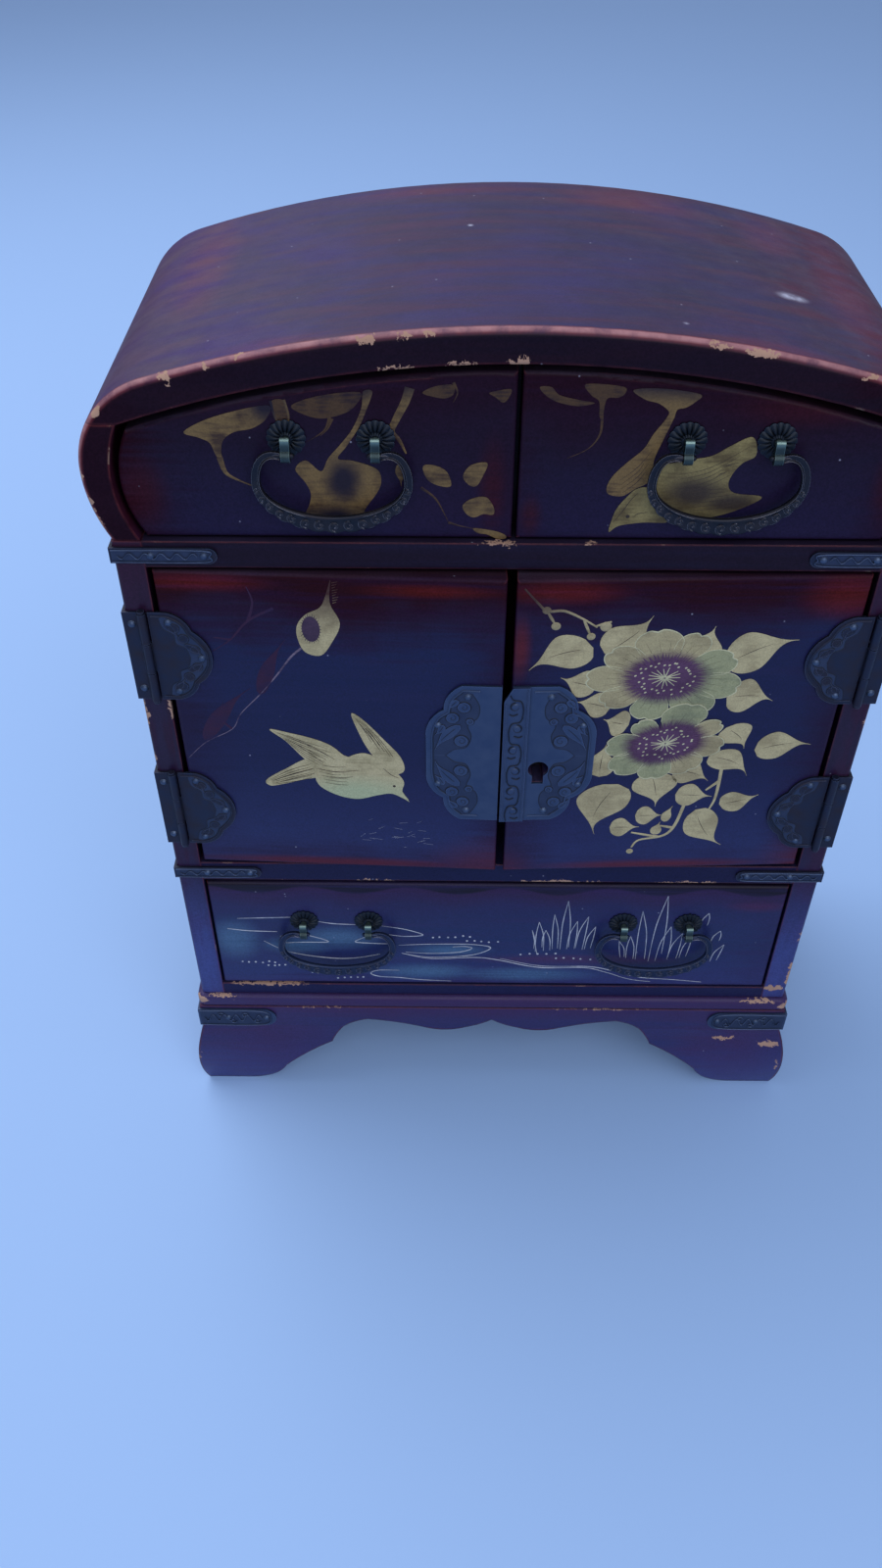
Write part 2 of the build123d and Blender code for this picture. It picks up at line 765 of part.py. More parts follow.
plate_widths = {"left": left_plate_width, "right": right_plate_width}
for word, side in sides.items():
    face = door_face(side)
    nails = door_nails(side, plate_widths[word])

    # Panel, its meeting edge leaning back so that it clears the other door
    with BuildPart() as panel:
        foot = (face.origin.X, face.origin.Y, door_bottom)
        with BuildSketch(Plane(foot, x_dir=face.x_dir, z_dir=(0, 0, 1))):
            with BuildLine():
                Polyline(
                    on_door(side, door_hinge_edge, 0),
                    on_door(side, door_free_edge, 0),
                    on_door(side, door_free_edge - meeting_bevel, door_thickness),
                    on_door(side, door_hinge_edge, door_thickness),
                    close=True,
                )
            make_face()
        extrude(amount=door_top - door_bottom)
        front_face = panel.faces().sort_by(Axis(face.origin, face.z_dir))[-1]
        fillet(front_face.edges(), door_rounding)
        if side > 0:
            extrude(keyhole(face), amount=-door_thickness, mode=Mode.SUBTRACT)
        drill_nails(nails)
    save(panel, f"{word}_door_panel")

    save(lock_plate(side, plate_widths[word], nails), f"{word}_lock_plate")

    with BuildPart() as case_leaves:
        for level in hinge_levels:
            add(case_leaf(side, level))
    save(case_leaves, f"{word}_hinge_case_leaves")

    with BuildPart() as door_leaves:
        for level in hinge_levels:
            add(door_leaf(side, level, nails))
    save(door_leaves, f"{word}_hinge_door_leaves")

    with BuildPart() as nails_of_door:
        with Locations(*nails):
            add(nail.part)
    save(nails_of_door, f"{word}_door_nails")

# Meeting strip on the right door, over the gap, with one top corner cut off
with BuildPart() as lock_astragal:
    near_edge = door_free_edge + meeting_gap - astragal_clearance
    with BuildSketch(door_face(1, -sheet)):
        with BuildLine():
            Polyline(
                on_door(1, near_edge - astragal_width, plate_level + plate_height / 2),
                on_door(1, near_edge - astragal_corner, plate_level + plate_height / 2),
                on_door(1, near_edge, plate_level + plate_height / 2 - astragal_corner - astragal_corner),
                on_door(1, near_edge, plate_level - plate_height / 2),
                on_door(1, near_edge - astragal_width, plate_level - plate_height / 2),
                close=True,
            )
        make_face()
    extrude(amount=astragal_thickness)
save(lock_astragal, "lock_astragal")

# Lock behind the right door: a case with a slot for the bolt and a way in for the key
lock_near = door_free_edge - lock_edge_inset
bolt_plane = door_face(1, door_thickness + (lock_depth - bolt_thickness) / 2)
slot_plane = door_face(1, door_thickness + (lock_depth - bolt_thickness) / 2 - bolt_gap)
with BuildPart() as lock_case:
    with BuildSketch(door_face(1, door_thickness)):
        with Locations(on_door(1, lock_near - lock_width / 2, plate_level)):
            Rectangle(lock_width, lock_height)
    extrude(amount=-lock_depth)
    with BuildSketch(slot_plane):
        with Locations(on_door(1, lock_near - bolt_length / 2, bolt_level)):
            Rectangle(bolt_length + bolt_gap + bolt_gap, bolt_height + bolt_gap + bolt_gap)
    extrude(amount=-bolt_thickness - bolt_gap - bolt_gap, mode=Mode.SUBTRACT)
    extrude(keyhole(door_face(1, door_thickness)), amount=-lock_depth / 2, mode=Mode.SUBTRACT)
save(lock_case, "lock_case")

with BuildPart() as lock_bolt:
    with BuildSketch(bolt_plane):
        with Locations(on_door(1, lock_near - bolt_length / 2, bolt_level)):
            Rectangle(bolt_length, bolt_height)
    extrude(amount=-bolt_thickness)
save(lock_bolt, "lock_bolt")

# Keeper behind the left door, with a pocket for the end of the bolt
with BuildPart() as lock_keeper:
    with BuildSketch(door_face(-1, door_thickness)):
        with Locations(on_door(-1, lock_near - keeper_width / 2, bolt_level)):
            Rectangle(keeper_width, keeper_height)
    extrude(amount=-lock_depth)
    with BuildSketch(door_face(-1, door_thickness + (lock_depth - bolt_thickness) / 2 - keeper_gap)):
        with Locations(on_door(-1, lock_near - (keeper_pocket - overrun) / 2, bolt_level)):
            Rectangle(keeper_pocket + overrun, bolt_height + keeper_gap + keeper_gap)
    extrude(amount=-bolt_thickness - keeper_gap - keeper_gap, mode=Mode.SUBTRACT)
save(lock_keeper, "lock_keeper")


def post_places(recess, pulls):
    face = facing_front(recess)
    return [face * Pos(x + end * post_spacing / 2, z) for x, z in pulls for end in (-1, 1)]


def drawer_box(name, x_span, floor, height, recess):
    # Two sides, a back between them and a bottom inside all three.
    low_x, high_x = x_span
    inner_span = (low_x + drawer_board, high_x - drawer_board)
    front_end = front_y + recess + drawer_front_thickness
    back_end = drawer_back_y - drawer_board
    board(f"{name}_left_side", (low_x, inner_span[0]), (front_end, drawer_back_y), (floor, floor + height))
    board(f"{name}_right_side", (inner_span[1], high_x), (front_end, drawer_back_y), (floor, floor + height))
    board(f"{name}_back", inner_span, (back_end, drawer_back_y), (floor, floor + height))
    board(f"{name}_bottom", inner_span, (front_end, back_end), (floor, floor + drawer_bottom))


def pull_fittings(name, recess, pulls):
    # Rosettes and posts; a post is clinched behind the front, and the bail's eye hangs from it on a link.
    places = post_places(recess, pulls)
    with BuildPart() as rosettes:
        for place in places:
            with BuildSketch(place):
                Circle(rosette_radius - rosette_petal_radius)
                with PolarLocations(rosette_radius - rosette_petal_radius, rosette_petals):
                    Circle(rosette_petal_radius)
                Circle(post_radius + post_fit, mode=Mode.SUBTRACT)
            extrude(amount=rosette_thickness)
    save(rosettes, f"{name}_rosettes")

    shank_low = -drawer_front_thickness - clinch_thickness
    eye_bore = bail_pin_radius + bail_pin_fit
    with BuildPart() as posts:
        for place in places:
            with Locations(place * Pos(0, 0, shank_low)):
                Cylinder(post_radius, pivot_stand - shank_low, align=(Align.CENTER, Align.CENTER, Align.MIN))
                Cylinder(clinch_radius, clinch_thickness, align=(Align.CENTER, Align.CENTER, Align.MIN))
            with Locations(place * Pos(0, (post_radius - eye_drop) / 2, pivot_stand)):
                Box(eye_length, post_radius + eye_drop, link_thickness)
            with Locations(place * Pos(0, post_radius, pivot_stand)):
                Cylinder(link_thickness / 2, eye_length, rotation=(0, 90, 0))
            with Locations(place * Pos(0, -eye_drop, pivot_stand)):
                Cylinder(eye_radius, eye_length, rotation=(0, 90, 0))
                Cylinder(eye_bore, eye_length + overrun, rotation=(0, 90, 0), mode=Mode.SUBTRACT)
    save(posts, f"{name}_posts")


def bail(name, recess, middle_x, level):
    # Flat drop handle: rounded shoulders and a deep belly, with its two ends turned into the eyes.
    neck_x = post_spacing / 2 + eye_length / 2 + bail_side_gap
    neck = bail_neck_height / 2
    with BuildPart() as handle:
        with BuildSketch(facing_front(recess - pivot_stand + bail_thickness / 2) * Pos(middle_x, level)):
            with BuildLine():
                for end in (-1, 1):
                    Spline(
                        (end * neck_x, neck),
                        (end * bail_half_width, -bail_waist_drop),
                        (0, -bail_drop),
                        tangents=((end, 0), (0, -1), (-end, 0)),
                    )
                    Spline(
                        (end * neck_x, -neck),
                        (end * (bail_half_width - bail_side_width), -bail_waist_drop),
                        (0, bail_bottom_width - bail_drop),
                        tangents=((end, 0), (0, -1), (-end, 0)),
                    )
                    Line((end * neck_x, neck), (end * neck_x, -neck))
            make_face()
        extrude(amount=bail_thickness)
        pin_low = post_spacing / 2 - eye_length / 2 - bail_pin_end
        pin_length = neck_x + bail_neck_height - pin_low
        for end in (-1, 1):
            pin_x = middle_x + end * (pin_low + pin_length / 2)
            with Locations((pin_x, front_y + recess - pivot_stand, level)):
                Cylinder(bail_pin_radius, pin_length, rotation=(0, 90, 0))
    save(handle, name)


# Upper drawers: fronts shaped to the arch, on plain boxes
upper_pulls = {"left": upper_left_pull_x, "right": upper_right_pull_x}
for word, side in sides.items():
    name = f"upper_{word}_drawer"
    pulls = [(upper_pulls[word], upper_pull_level)]
    split_x = upper_split_gap / 2
    outer_x = inner_half - upper_side_gap
    corner_x = opening_corner_x - upper_side_gap
    mid_x = (split_x + corner_x) / 2
    with BuildPart() as drawer_front:
        with BuildSketch(facing_front(upper_recess)):
            with BuildLine():
                ThreePointArc(
                    (side * outer_x, upper_drawer_floor),
                    (side * (shoulder_x - shoulder_wall - upper_side_gap), upper_floor + joint_height / 2),
                    (side * corner_x, soffit_level(corner_x, upper_top_gap)),
                )
                ThreePointArc(
                    (side * corner_x, soffit_level(corner_x, upper_top_gap)),
                    (side * mid_x, soffit_level(mid_x, upper_top_gap)),
                    (side * split_x, soffit_level(split_x, upper_top_gap)),
                )
                Polyline(
                    (side * split_x, soffit_level(split_x, upper_top_gap)),
                    (side * split_x, upper_drawer_floor),
                    (side * outer_x, upper_drawer_floor),
                )
            make_face()
        extrude(amount=-drawer_front_thickness)
        fillet(drawer_front.faces().sort_by(Axis.Y)[0].edges(), drawer_front_rounding)
        with Locations(*post_places(upper_recess, pulls)):
            Hole(post_radius + post_fit, drawer_front_thickness)
    save(drawer_front, f"{name}_front")
    near_x = divider_thickness / 2 + upper_side_gap
    span = sorted((side * near_x, side * outer_x))
    drawer_box(name, span, upper_drawer_floor, upper_box_height, upper_recess)
    pull_fittings(name, upper_recess, pulls)
    bail(f"upper_{word}_bail", upper_recess, upper_pulls[word], upper_pivot_level)

# Lower drawer: one wide front with two pulls
lower_pulls = [(side * lower_pull_x, lower_pull_level) for side in sides.values()]
lower_half = inner_half - lower_side_gap
with BuildPart() as lower_drawer_front:
    lower_front_top = lower_shelf_bottom - lower_top_gap
    with BuildSketch(facing_front(lower_recess)):
        with Locations((0, (lower_drawer_floor + lower_front_top) / 2)):
            Rectangle(lower_half + lower_half, lower_front_top - lower_drawer_floor)
    extrude(amount=-drawer_front_thickness)
    fillet(lower_drawer_front.faces().sort_by(Axis.Y)[0].edges(), drawer_front_rounding)
    with Locations(*post_places(lower_recess, lower_pulls)):
        Hole(post_radius + post_fit, drawer_front_thickness)
save(lower_drawer_front, "lower_drawer_front")
drawer_box("lower_drawer", (-lower_half, lower_half), lower_drawer_floor, lower_box_height, lower_recess)
pull_fittings("lower_drawer", lower_recess, lower_pulls)
for word, side in sides.items():
    bail(f"lower_{word}_bail", lower_recess, side * lower_pull_x, lower_pivot_level)
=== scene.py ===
import json
import math
import random
from functools import partial

import bmesh
import bpy
from mathutils import Matrix, Vector
from mathutils.geometry import tessellate_polygon


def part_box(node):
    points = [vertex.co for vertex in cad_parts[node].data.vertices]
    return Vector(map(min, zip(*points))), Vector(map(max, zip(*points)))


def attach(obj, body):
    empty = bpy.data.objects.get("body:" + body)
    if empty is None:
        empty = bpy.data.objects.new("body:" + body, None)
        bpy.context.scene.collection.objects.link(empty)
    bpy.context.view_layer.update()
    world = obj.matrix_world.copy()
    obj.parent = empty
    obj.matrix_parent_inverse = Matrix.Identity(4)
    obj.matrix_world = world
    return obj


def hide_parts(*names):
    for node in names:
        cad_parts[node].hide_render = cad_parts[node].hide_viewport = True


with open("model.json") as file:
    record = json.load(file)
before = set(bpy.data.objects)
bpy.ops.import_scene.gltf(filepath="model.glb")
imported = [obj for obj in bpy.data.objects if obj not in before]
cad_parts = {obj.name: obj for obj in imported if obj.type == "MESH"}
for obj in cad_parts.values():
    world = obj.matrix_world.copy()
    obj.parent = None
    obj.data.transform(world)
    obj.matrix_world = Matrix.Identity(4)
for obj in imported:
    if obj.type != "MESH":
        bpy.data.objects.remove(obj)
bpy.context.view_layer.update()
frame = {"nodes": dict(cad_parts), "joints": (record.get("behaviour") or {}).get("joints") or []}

mm = 0.001
scene = bpy.context.scene
scene.view_settings.view_transform = "Standard"
cad = frame["nodes"]
joints = {joint["name"]: joint for joint in frame["joints"]}
drawerNames = ("upper_left_drawer", "upper_right_drawer", "lower_drawer")
random.seed(11)


def linear(hexText):  # sRGB hex to linear colour
    parts = [int(hexText[i:i + 2], 16) / 255 for i in (1, 3, 5)]
    return [c / 12.92 if c <= 0.04045 else ((c + 0.055) / 1.055) ** 2.4 for c in parts] + [1]


def addNode(tree, kind, inputs=None, stops=None, **settings):
    made = tree.nodes.new("ShaderNode" + kind)
    for name, value in settings.items():
        setattr(made, name, value)
    if stops:
        ramp = made.color_ramp.elements
        ramp.remove(ramp[1])
        for i, (place, tone) in enumerate(stops):
            stop = ramp.new(place) if i else ramp[0]
            stop.position = place
            stop.color = linear(tone) if isinstance(tone, str) else (tone, tone, tone, 1)
    for name, value in (inputs or {}).items():
        if isinstance(value, bpy.types.NodeSocket):
            tree.links.new(value, made.inputs[name])
        else:
            made.inputs[name].default_value = linear(value) if isinstance(value, str) else value
    return made


def newMaterial(name):
    material = bpy.data.materials.new(name)
    material.use_nodes = True
    tree = material.node_tree
    return material, tree, tree.nodes["Principled BSDF"], partial(addNode, tree)


def noise(add, coords, size, detail, rough=0.5, result="Fac"):  # cloudy pattern, its size in millimetres
    look = {"Vector": coords, "Scale": 1 / (size * mm), "Detail": detail, "Roughness": rough}
    return add("TexNoise", look).outputs[result]


def ranged(add, value, low, high, start=0, end=1):
    return add("MapRange", {0: value, 1: low, 2: high, 3: start, 4: end}).outputs[0]


def calc(add, kind, *values, clamp=False):
    return add("Math", dict(enumerate(values)), operation=kind, use_clamp=clamp).outputs[0]


def vectorCalc(add, kind, *values, result=0):
    return add("VectorMath", dict(enumerate(values)), operation=kind).outputs[result]


def edgeShare(add, normal, radius):  # an eased normal, and how far it agrees with the flat one
    eased = add("Bevel", {"Radius": radius * mm}, samples=4).outputs[0]
    return eased, vectorCalc(add, "DOT_PRODUCT", eased, normal, result="Value")


def blend(add, share, under, over):
    return add("Mix", {0: share, 6: under, 7: over}, data_type="RGBA").outputs[2]


def dress(nodeNames, material):
    for nodeName in nodeNames:
        mesh = cad[nodeName].data
        mesh.materials.clear()
        mesh.materials.append(material)


# Camera: held high in front of the cabinet and looking down on it
cameraLook = {"place": (-16.47, -331.92, 412.17), "down": 42.68, "turn": -0.464, "tilt": 0.115,
              "lens": 28.83}
down, turn, tilt = (math.radians(cameraLook[key]) for key in ("down", "turn", "tilt"))
ahead = Vector((math.sin(turn) * math.cos(down), math.cos(turn) * math.cos(down), -math.sin(down)))
level = Vector((math.cos(turn), -math.sin(turn), 0))
upward = level.cross(ahead)
cameraAxes = Matrix((level * math.cos(tilt) + upward * math.sin(tilt),
                     upward * math.cos(tilt) - level * math.sin(tilt), -ahead)).transposed()
camera = bpy.data.objects.new("camera", bpy.data.cameras.new("camera"))
camera.matrix_world = Matrix.Translation(Vector(cameraLook["place"]) * mm) @ cameraAxes.to_4x4()
camera.data.lens = cameraLook["lens"]
camera.data.clip_start = 0.01
scene.collection.objects.link(camera)
scene.camera = camera

# Light: a wide soft box above and behind on the left, a fainter one in front, and a plain pale room
lampLook = {
    "keyLamp": {"place": (-0.60, 0.45, 1.25), "size": 1.2, "power": 14, "tone": "#f4f6ff"},
    "fillLamp": {"place": (0.30, -1.30, 1.10), "size": 1.6, "power": 15, "tone": "#f2f5ff"},
}
for lampName, look in lampLook.items():
    lamp = bpy.data.lights.new(lampName, "AREA")
    lamp.size, lamp.energy, lamp.color = look["size"], look["power"], linear(look["tone"])[:3]
    lampObject = bpy.data.objects.new(lampName, lamp)
    lampObject.location = look["place"]
    aim = Vector((0, 0, 0.14)) - lampObject.location
    lampObject.rotation_euler = aim.to_track_quat("-Z", "Y").to_euler()
    scene.collection.objects.link(lampObject)
world = bpy.data.worlds.new("paleRoom")
world.use_nodes = True
world.node_tree.nodes["Background"].inputs["Color"].default_value = linear("#d3def4")
world.node_tree.nodes["Background"].inputs["Strength"].default_value = 0.6
scene.world = world

# Floor: a pale blue-white table top
floorLook = {"half": 4, "tone": "#98b8e2", "rough": 0.85}
floorMesh = bpy.data.meshes.new("tableTop")
half = floorLook["half"]
corners = [(-half, -half, 0), (half, -half, 0), (half, half, 0), (-half, half, 0)]
floorMesh.from_pydata(corners, [], [(0, 1, 2, 3)])
floor = bpy.data.objects.new("tableTop", floorMesh)
scene.collection.objects.link(floor)
floorPaint, tree, shader, add = newMaterial("palePaintedTable")
shader.inputs["Base Color"].default_value = linear(floorLook["tone"])
shader.inputs["Roughness"].default_value = floorLook["rough"]
floorMesh.materials.append(floorPaint)
print("camera, light and floor are set")


# Sizes of the patterns in the materials, in millimetres
patternSizes = {"cloud": 26, "patch": 7, "speckCell": 5, "mottle": 0.5, "jag": 2.2, "ripple": 1.6,
                "bend": 30, "blotch": 5, "pit": 0.7, "brushCloud": 7, "paintGrain": 0.4}


def spotField(add, coords, spots):  # soft ellipsoids: middle and reach in millimetres
    total = None
    for x, y, z, *reach in spots:
        off = vectorCalc(add, "SUBTRACT", coords, (x * mm, y * mm, z * mm))
        scaled = vectorCalc(add, "MULTIPLY", off, [1 / (r * mm) for r in reach])
        far = vectorCalc(add, "LENGTH", scaled, result="Value")
        fall = {0: far, 1: 0.1, 2: 1, 3: 1, 4: 0}
        near = add("MapRange", fall, interpolation_type="SMOOTHSTEP").outputs[0]
        if total:
            near = calc(add, "MAXIMUM", total, near)
        total = near
    return total


# Transparent lacquer rubbed over red on soft wood: dark in the middle of each board, red where it thins
# towards the edges, a soft gloss, fine rubbing streaks, and chips down to bare wood on the edges
lacquerTones = {"bare": "#b3927f", "grain": "#8f6c59", "worn": "#6a3034", "speck": "#a5a6ba",
                "deep": "#130b1a", "grime": "#060409"}
lacquerPlain = {
    "across": [(0, 0.3), (0.5, 0.1), (1, 0.3)], "up": [(0, 0.3), (0.5, 0.1), (1, 0.3)], "wobble": 0.22,
    "lowTo": 0.4, "streakSize": (60, 2.2, 2.2), "streaks": 0.35, "dustAndSheen": 0.25, "bloomTone": "#4a4668",
    "wearWidth": 0.8, "chipping": 0.8, "gloss": 0.30, "dull": 0.46, "shine": (0.2, 0.35),
}


def lacquer(name, low, high, look):
    look = {**lacquerPlain, **look}
    material, tree, shader, add = newMaterial(name)
    coords = add("TexCoord").outputs["Object"]
    normal = add("NewGeometry").outputs["Normal"]
    facing = add("SeparateXYZ", {0: normal})
    cloud = noise(add, coords, patternSizes["cloud"], 3)
    patch = noise(add, coords, patternSizes["patch"], 5, 0.65)
    long = add("Mapping", {0: coords, 3: [1 / size for size in look["streakSize"]]}).outputs[0]
    streak = noise(add, long, 1, 5, 0.62)
    # redness grows towards the board's edges, along the rubbing streaks
    share = add("MapRange", {6: coords, 7: low, 8: high}, data_type="FLOAT_VECTOR").outputs[1]
    shares = add("SeparateXYZ", {0: share})
    mixed = calc(add, "ADD", cloud, streak)
    front = calc(add, "MULTIPLY", facing.outputs["Y"], -1, clamp=True)
    sway = calc(add, "MULTIPLY_ADD", mixed, look["wobble"], -look["wobble"])
    thin = []
    for axis, stops in (("X", look["across"]), ("Z", look["up"])):
        shifted = calc(add, "ADD", sway, shares.outputs[axis])
        thin.append(add("ValToRGB", {0: shifted}, stops=stops).outputs[0])
    red = calc(add, "MAXIMUM", thin[0], thin[1])
    # painted light: towards the bottom of each board the colour turns to a painted reflection of the pale
    # blue floor; on the roof it turns darker, a painted shade
    sunk = ranged(add, shares.outputs["Z"], 0, look["lowTo"], 1, 0)
    tone = blend(add, sunk, look["heart"], look["lowTone"])
    tone = blend(add, red, tone, look["rim"])
    lined = ranged(add, streak, 0.36, 0.64, 0.4, 0.95)
    for kind in ("glow", "glaze"):  # red glowing through; bluish glaze: painted water on the lower drawer
        if kind in look:
            field = spotField(add, coords, look[kind])
            field = calc(add, "MULTIPLY", field, lined)
            tone = blend(add, field, tone, look[kind + "Tone"])
    if "swag" in look:  # painted dark festoons along the top
        swag, place = look["swag"], add("SeparateXYZ", {0: coords})
        turns = math.tau / (swag["period"] * mm)
        phase = calc(add, "MULTIPLY_ADD", place.outputs["X"], turns, swag["phase"])
        wave = calc(add, "SINE", phase)
        edge = calc(add, "MULTIPLY_ADD", wave, swag["depth"] * mm, swag["level"] * mm)
        over = calc(add, "SUBTRACT", place.outputs["Z"], edge)
        warm = ranged(add, over, -8 * mm, -0.4 * mm, 0, 0.8)
        tone = blend(add, warm, tone, look["rim"])
        dark = ranged(add, over, -0.4 * mm, 0.5 * mm)
        tone = blend(add, dark, tone, lacquerTones["deep"])
    lift = ranged(add, streak, 0.42, 0.72, 0, look["streaks"])
    tone = blend(add, lift, tone, look["streakTone"])
    # painted shade: the roof's faces that look to the front are darkened
    if "frontShadeTone" in look:
        shaded = ranged(add, front, 0.75, 0.97, 0, 0.85)
        tone = blend(add, shaded, tone, look["frontShadeTone"])
    # faces that look up are lighter: dusty, and a painted sheen of the light from above, more so on the
    # left, with half-millimetre specks
    dustAndSheen = ranged(add, facing.outputs["Z"], 0.35, 0.95, 0, look["dustAndSheen"])
    worn = ranged(add, mixed, 0.75, 1.15, 1, 0.35)
    dustAndSheen = calc(add, "MULTIPLY", dustAndSheen, worn)
    aside = ranged(add, shares.outputs["X"], 0.15, 1, 1, 0.4)
    dustAndSheen = calc(add, "MULTIPLY", dustAndSheen, aside)
    tone = blend(add, dustAndSheen, tone, look["bloomTone"])
    cells = add("TexVoronoi", {"Vector": coords, "Scale": 1 / (patternSizes["speckCell"] * mm)})
    pick = add("SeparateColor", {0: cells.outputs["Color"]}).outputs[0]
    rare = calc(add, "GREATER_THAN", pick, 0.75)
    tiny = ranged(add, cells.outputs["Distance"], 0.025, 0.07, 0.5, 0)
    speck = calc(add, "MULTIPLY", rare, tiny)
    if "scuffs" in look:
        scuff = spotField(add, coords, look["scuffs"])
        ragged = ranged(add, patch, 0.4, 0.6)
        scuff = calc(add, "MULTIPLY", scuff, ragged)
        speck = calc(add, "MAXIMUM", scuff, speck)
    tone = blend(add, speck, tone, lacquerTones["speck"])
    # fine mottling of half a millimetre, and grime with painted shade where light hardly reaches
    mottle = noise(add, coords, patternSizes["mottle"], 2)
    shade = ranged(add, mottle, 0.3, 0.7, 0.8, 1.2)
    tone = add("HueSaturation", {"Value": shade, "Color": tone}).outputs[0]
    hollow = add("AmbientOcclusion", {"Distance": 4 * mm}, samples=4).outputs["AO"]
    grime = ranged(add, hollow, 0.1, 0.45, 0.9, 0)
    tone = blend(add, grime, tone, lacquerTones["grime"])
    # wear: where a rounded edge's normal leaves the flat one; wear and painted highlight on the roof's lip
    eased, same = edgeShare(add, normal, look["wearWidth"])
    edge = ranged(add, same, 0.99, 0.82)
    thick = ranged(add, patch, 0.35, 0.6, 0.25, 0.85)
    rubbed = calc(add, "MULTIPLY", edge, thick)
    tone = blend(add, rubbed, tone, lacquerTones["worn"])
    if "lipWearAndHighlight" in look:
        rest = calc(add, "SUBTRACT", 1, front)
        both = calc(add, "MULTIPLY", front, rest)
        fringe = ranged(add, both, 0.03, 0.15)
        fringe = calc(add, "MULTIPLY", fringe, thick)
        tone = blend(add, fringe, tone, lacquerTones["worn"])
        # pale pink band on the lip: worn edge and painted highlight
        lipWearAndHighlight = ranged(add, both, 0.13, 0.23)
        lipWearAndHighlight = calc(add, "MULTIPLY", lipWearAndHighlight, thick)
        tone = blend(add, lipWearAndHighlight, tone, look["lipWearAndHighlight"])
    chipped = calc(add, "MULTIPLY", patch, edge)
    chipped = calc(add, "MULTIPLY", chipped, look["chipping"])
    if "chips" in look:
        jag = noise(add, coords, patternSizes["jag"], 4, 0.7, "Color")
        jag = vectorCalc(add, "SUBTRACT", jag, (0.5, 0.5, 0.5))
        ragged = vectorCalc(add, "MULTIPLY_ADD", jag, [6 * mm] * 3, coords)
        knocks = spotField(add, ragged, look["chips"])
        chipped = calc(add, "MAXIMUM", chipped, knocks)
    bare = ranged(add, chipped, 0.50, 0.53)
    wood = blend(add, streak, lacquerTones["bare"], lacquerTones["grain"])
    tone = blend(add, bare, tone, wood)
    tree.links.new(tone, shader.inputs["Base Color"])
    haze = ranged(add, patch, 0.3, 0.7, look["gloss"], look["dull"])
    dusty = calc(add, "MULTIPLY_ADD", dustAndSheen, 0.3, haze)
    rough = calc(add, "MULTIPLY_ADD", bare, 0.4, dusty, clamp=True)
    tree.links.new(rough, shader.inputs["Roughness"])
    upright, flat = look["shine"]
    shine = ranged(add, facing.outputs["Z"], 0.2, 0.9, upright, flat)
    dulled = ranged(add, red, 0, 1, 1, 0.15)
    shine = calc(add, "MULTIPLY", shine, dulled)
    tree.links.new(shine, shader.inputs["Specular IOR Level"])
    ripple = noise(add, coords, patternSizes["ripple"], 2)
    relief = calc(add, "MULTIPLY_ADD", streak, 0.6, ripple)
    relief = calc(add, "MULTIPLY_ADD", bare, -3, relief)
    dents = {"Height": relief, "Strength": 0.25, "Distance": 0.05 * mm, "Normal": eased}
    bump = add("Bump", dents).outputs[0]
    tree.links.new(bump, shader.inputs["Normal"])
    return material


roofLook = {
    "across": [(0, 0.6), (0.05, 0.5), (0.13, 0.2), (0.3, 0), (0.7, 0), (0.86, 0.15), (0.94, 0.7), (1, 0.8)],
    "up": [(0, 0.35), (0.45, 0.15), (0.8, 0.03), (1, 0)], "heart": "#211830", "lowTone": "#1a1226",
    "rim": "#48141b", "frontShadeTone": "#130a15", "streakTone": "#4c1f30", "streaks": 0.6,
    "streakSize": (70, 6, 6), "wobble": 0.3, "dustAndSheen": 0.6, "bloomTone": "#3a3070", "lipWearAndHighlight": "#a47679",
    "wearWidth": 1.2, "gloss": 0.36, "dull": 0.5, "shine": (0.06, 0.27), "glowTone": "#5a1a20",
    "glow": [(33, 43, 292, 30, 14, 9), (72, 34, 285, 14, 22, 8), (-84, 20, 283, 12, 50, 8),
             (88, 5, 281, 12, 60, 8), (-20, 48, 293, 40, 8, 9), (-60, -46, 288, 30, 5, 6),
             (60, -46, 288, 34, 5, 6)],
    "scuffs": [(70.5, -10.3, 286, 6, 3.5, 3), (-11.7, 18.2, 293.8, 1.2, 1.2, 1.2),
               (38.6, -40.6, 291.6, 1.2, 1, 1)],
    "chips": [(-75, -49.5, 284.4, 2, 3, 1.2), (-66, -49.5, 286.7, 2.4, 3, 1.1),
              (-36.5, -49.5, 291, 4, 3, 1.6), (-27.4, -49.5, 292, 3, 3, 1.2),
              (-21.5, -49.5, 292.4, 3, 3, 1.1), (-0.4, -49.5, 286, 4, 3, 2), (46, -49.5, 289.9, 5, 3, 1.2),
              (56, -49.5, 288.2, 8, 3, 1.4), (-84.7, -49.5, 281.6, 3, 3, 2.4),
              (-29, -49.5, 284.3, 8, 3, 0.9), (-14, -49.5, 285.2, 7, 3, 0.8), (-103, -49.5, 273, 3, 3, 3),
              (-108.8, -49.5, 247.5, 2.2, 3, 5), (-106.8, -49.5, 241.5, 2, 3, 6),
              (-109.4, -49.5, 256, 1.6, 3, 3), (108.8, -49.5, 249, 2, 3, 5), (104, -49.5, 271, 2.4, 3, 3),
              (82, -49.5, 282.4, 4, 3, 1.2)],
}
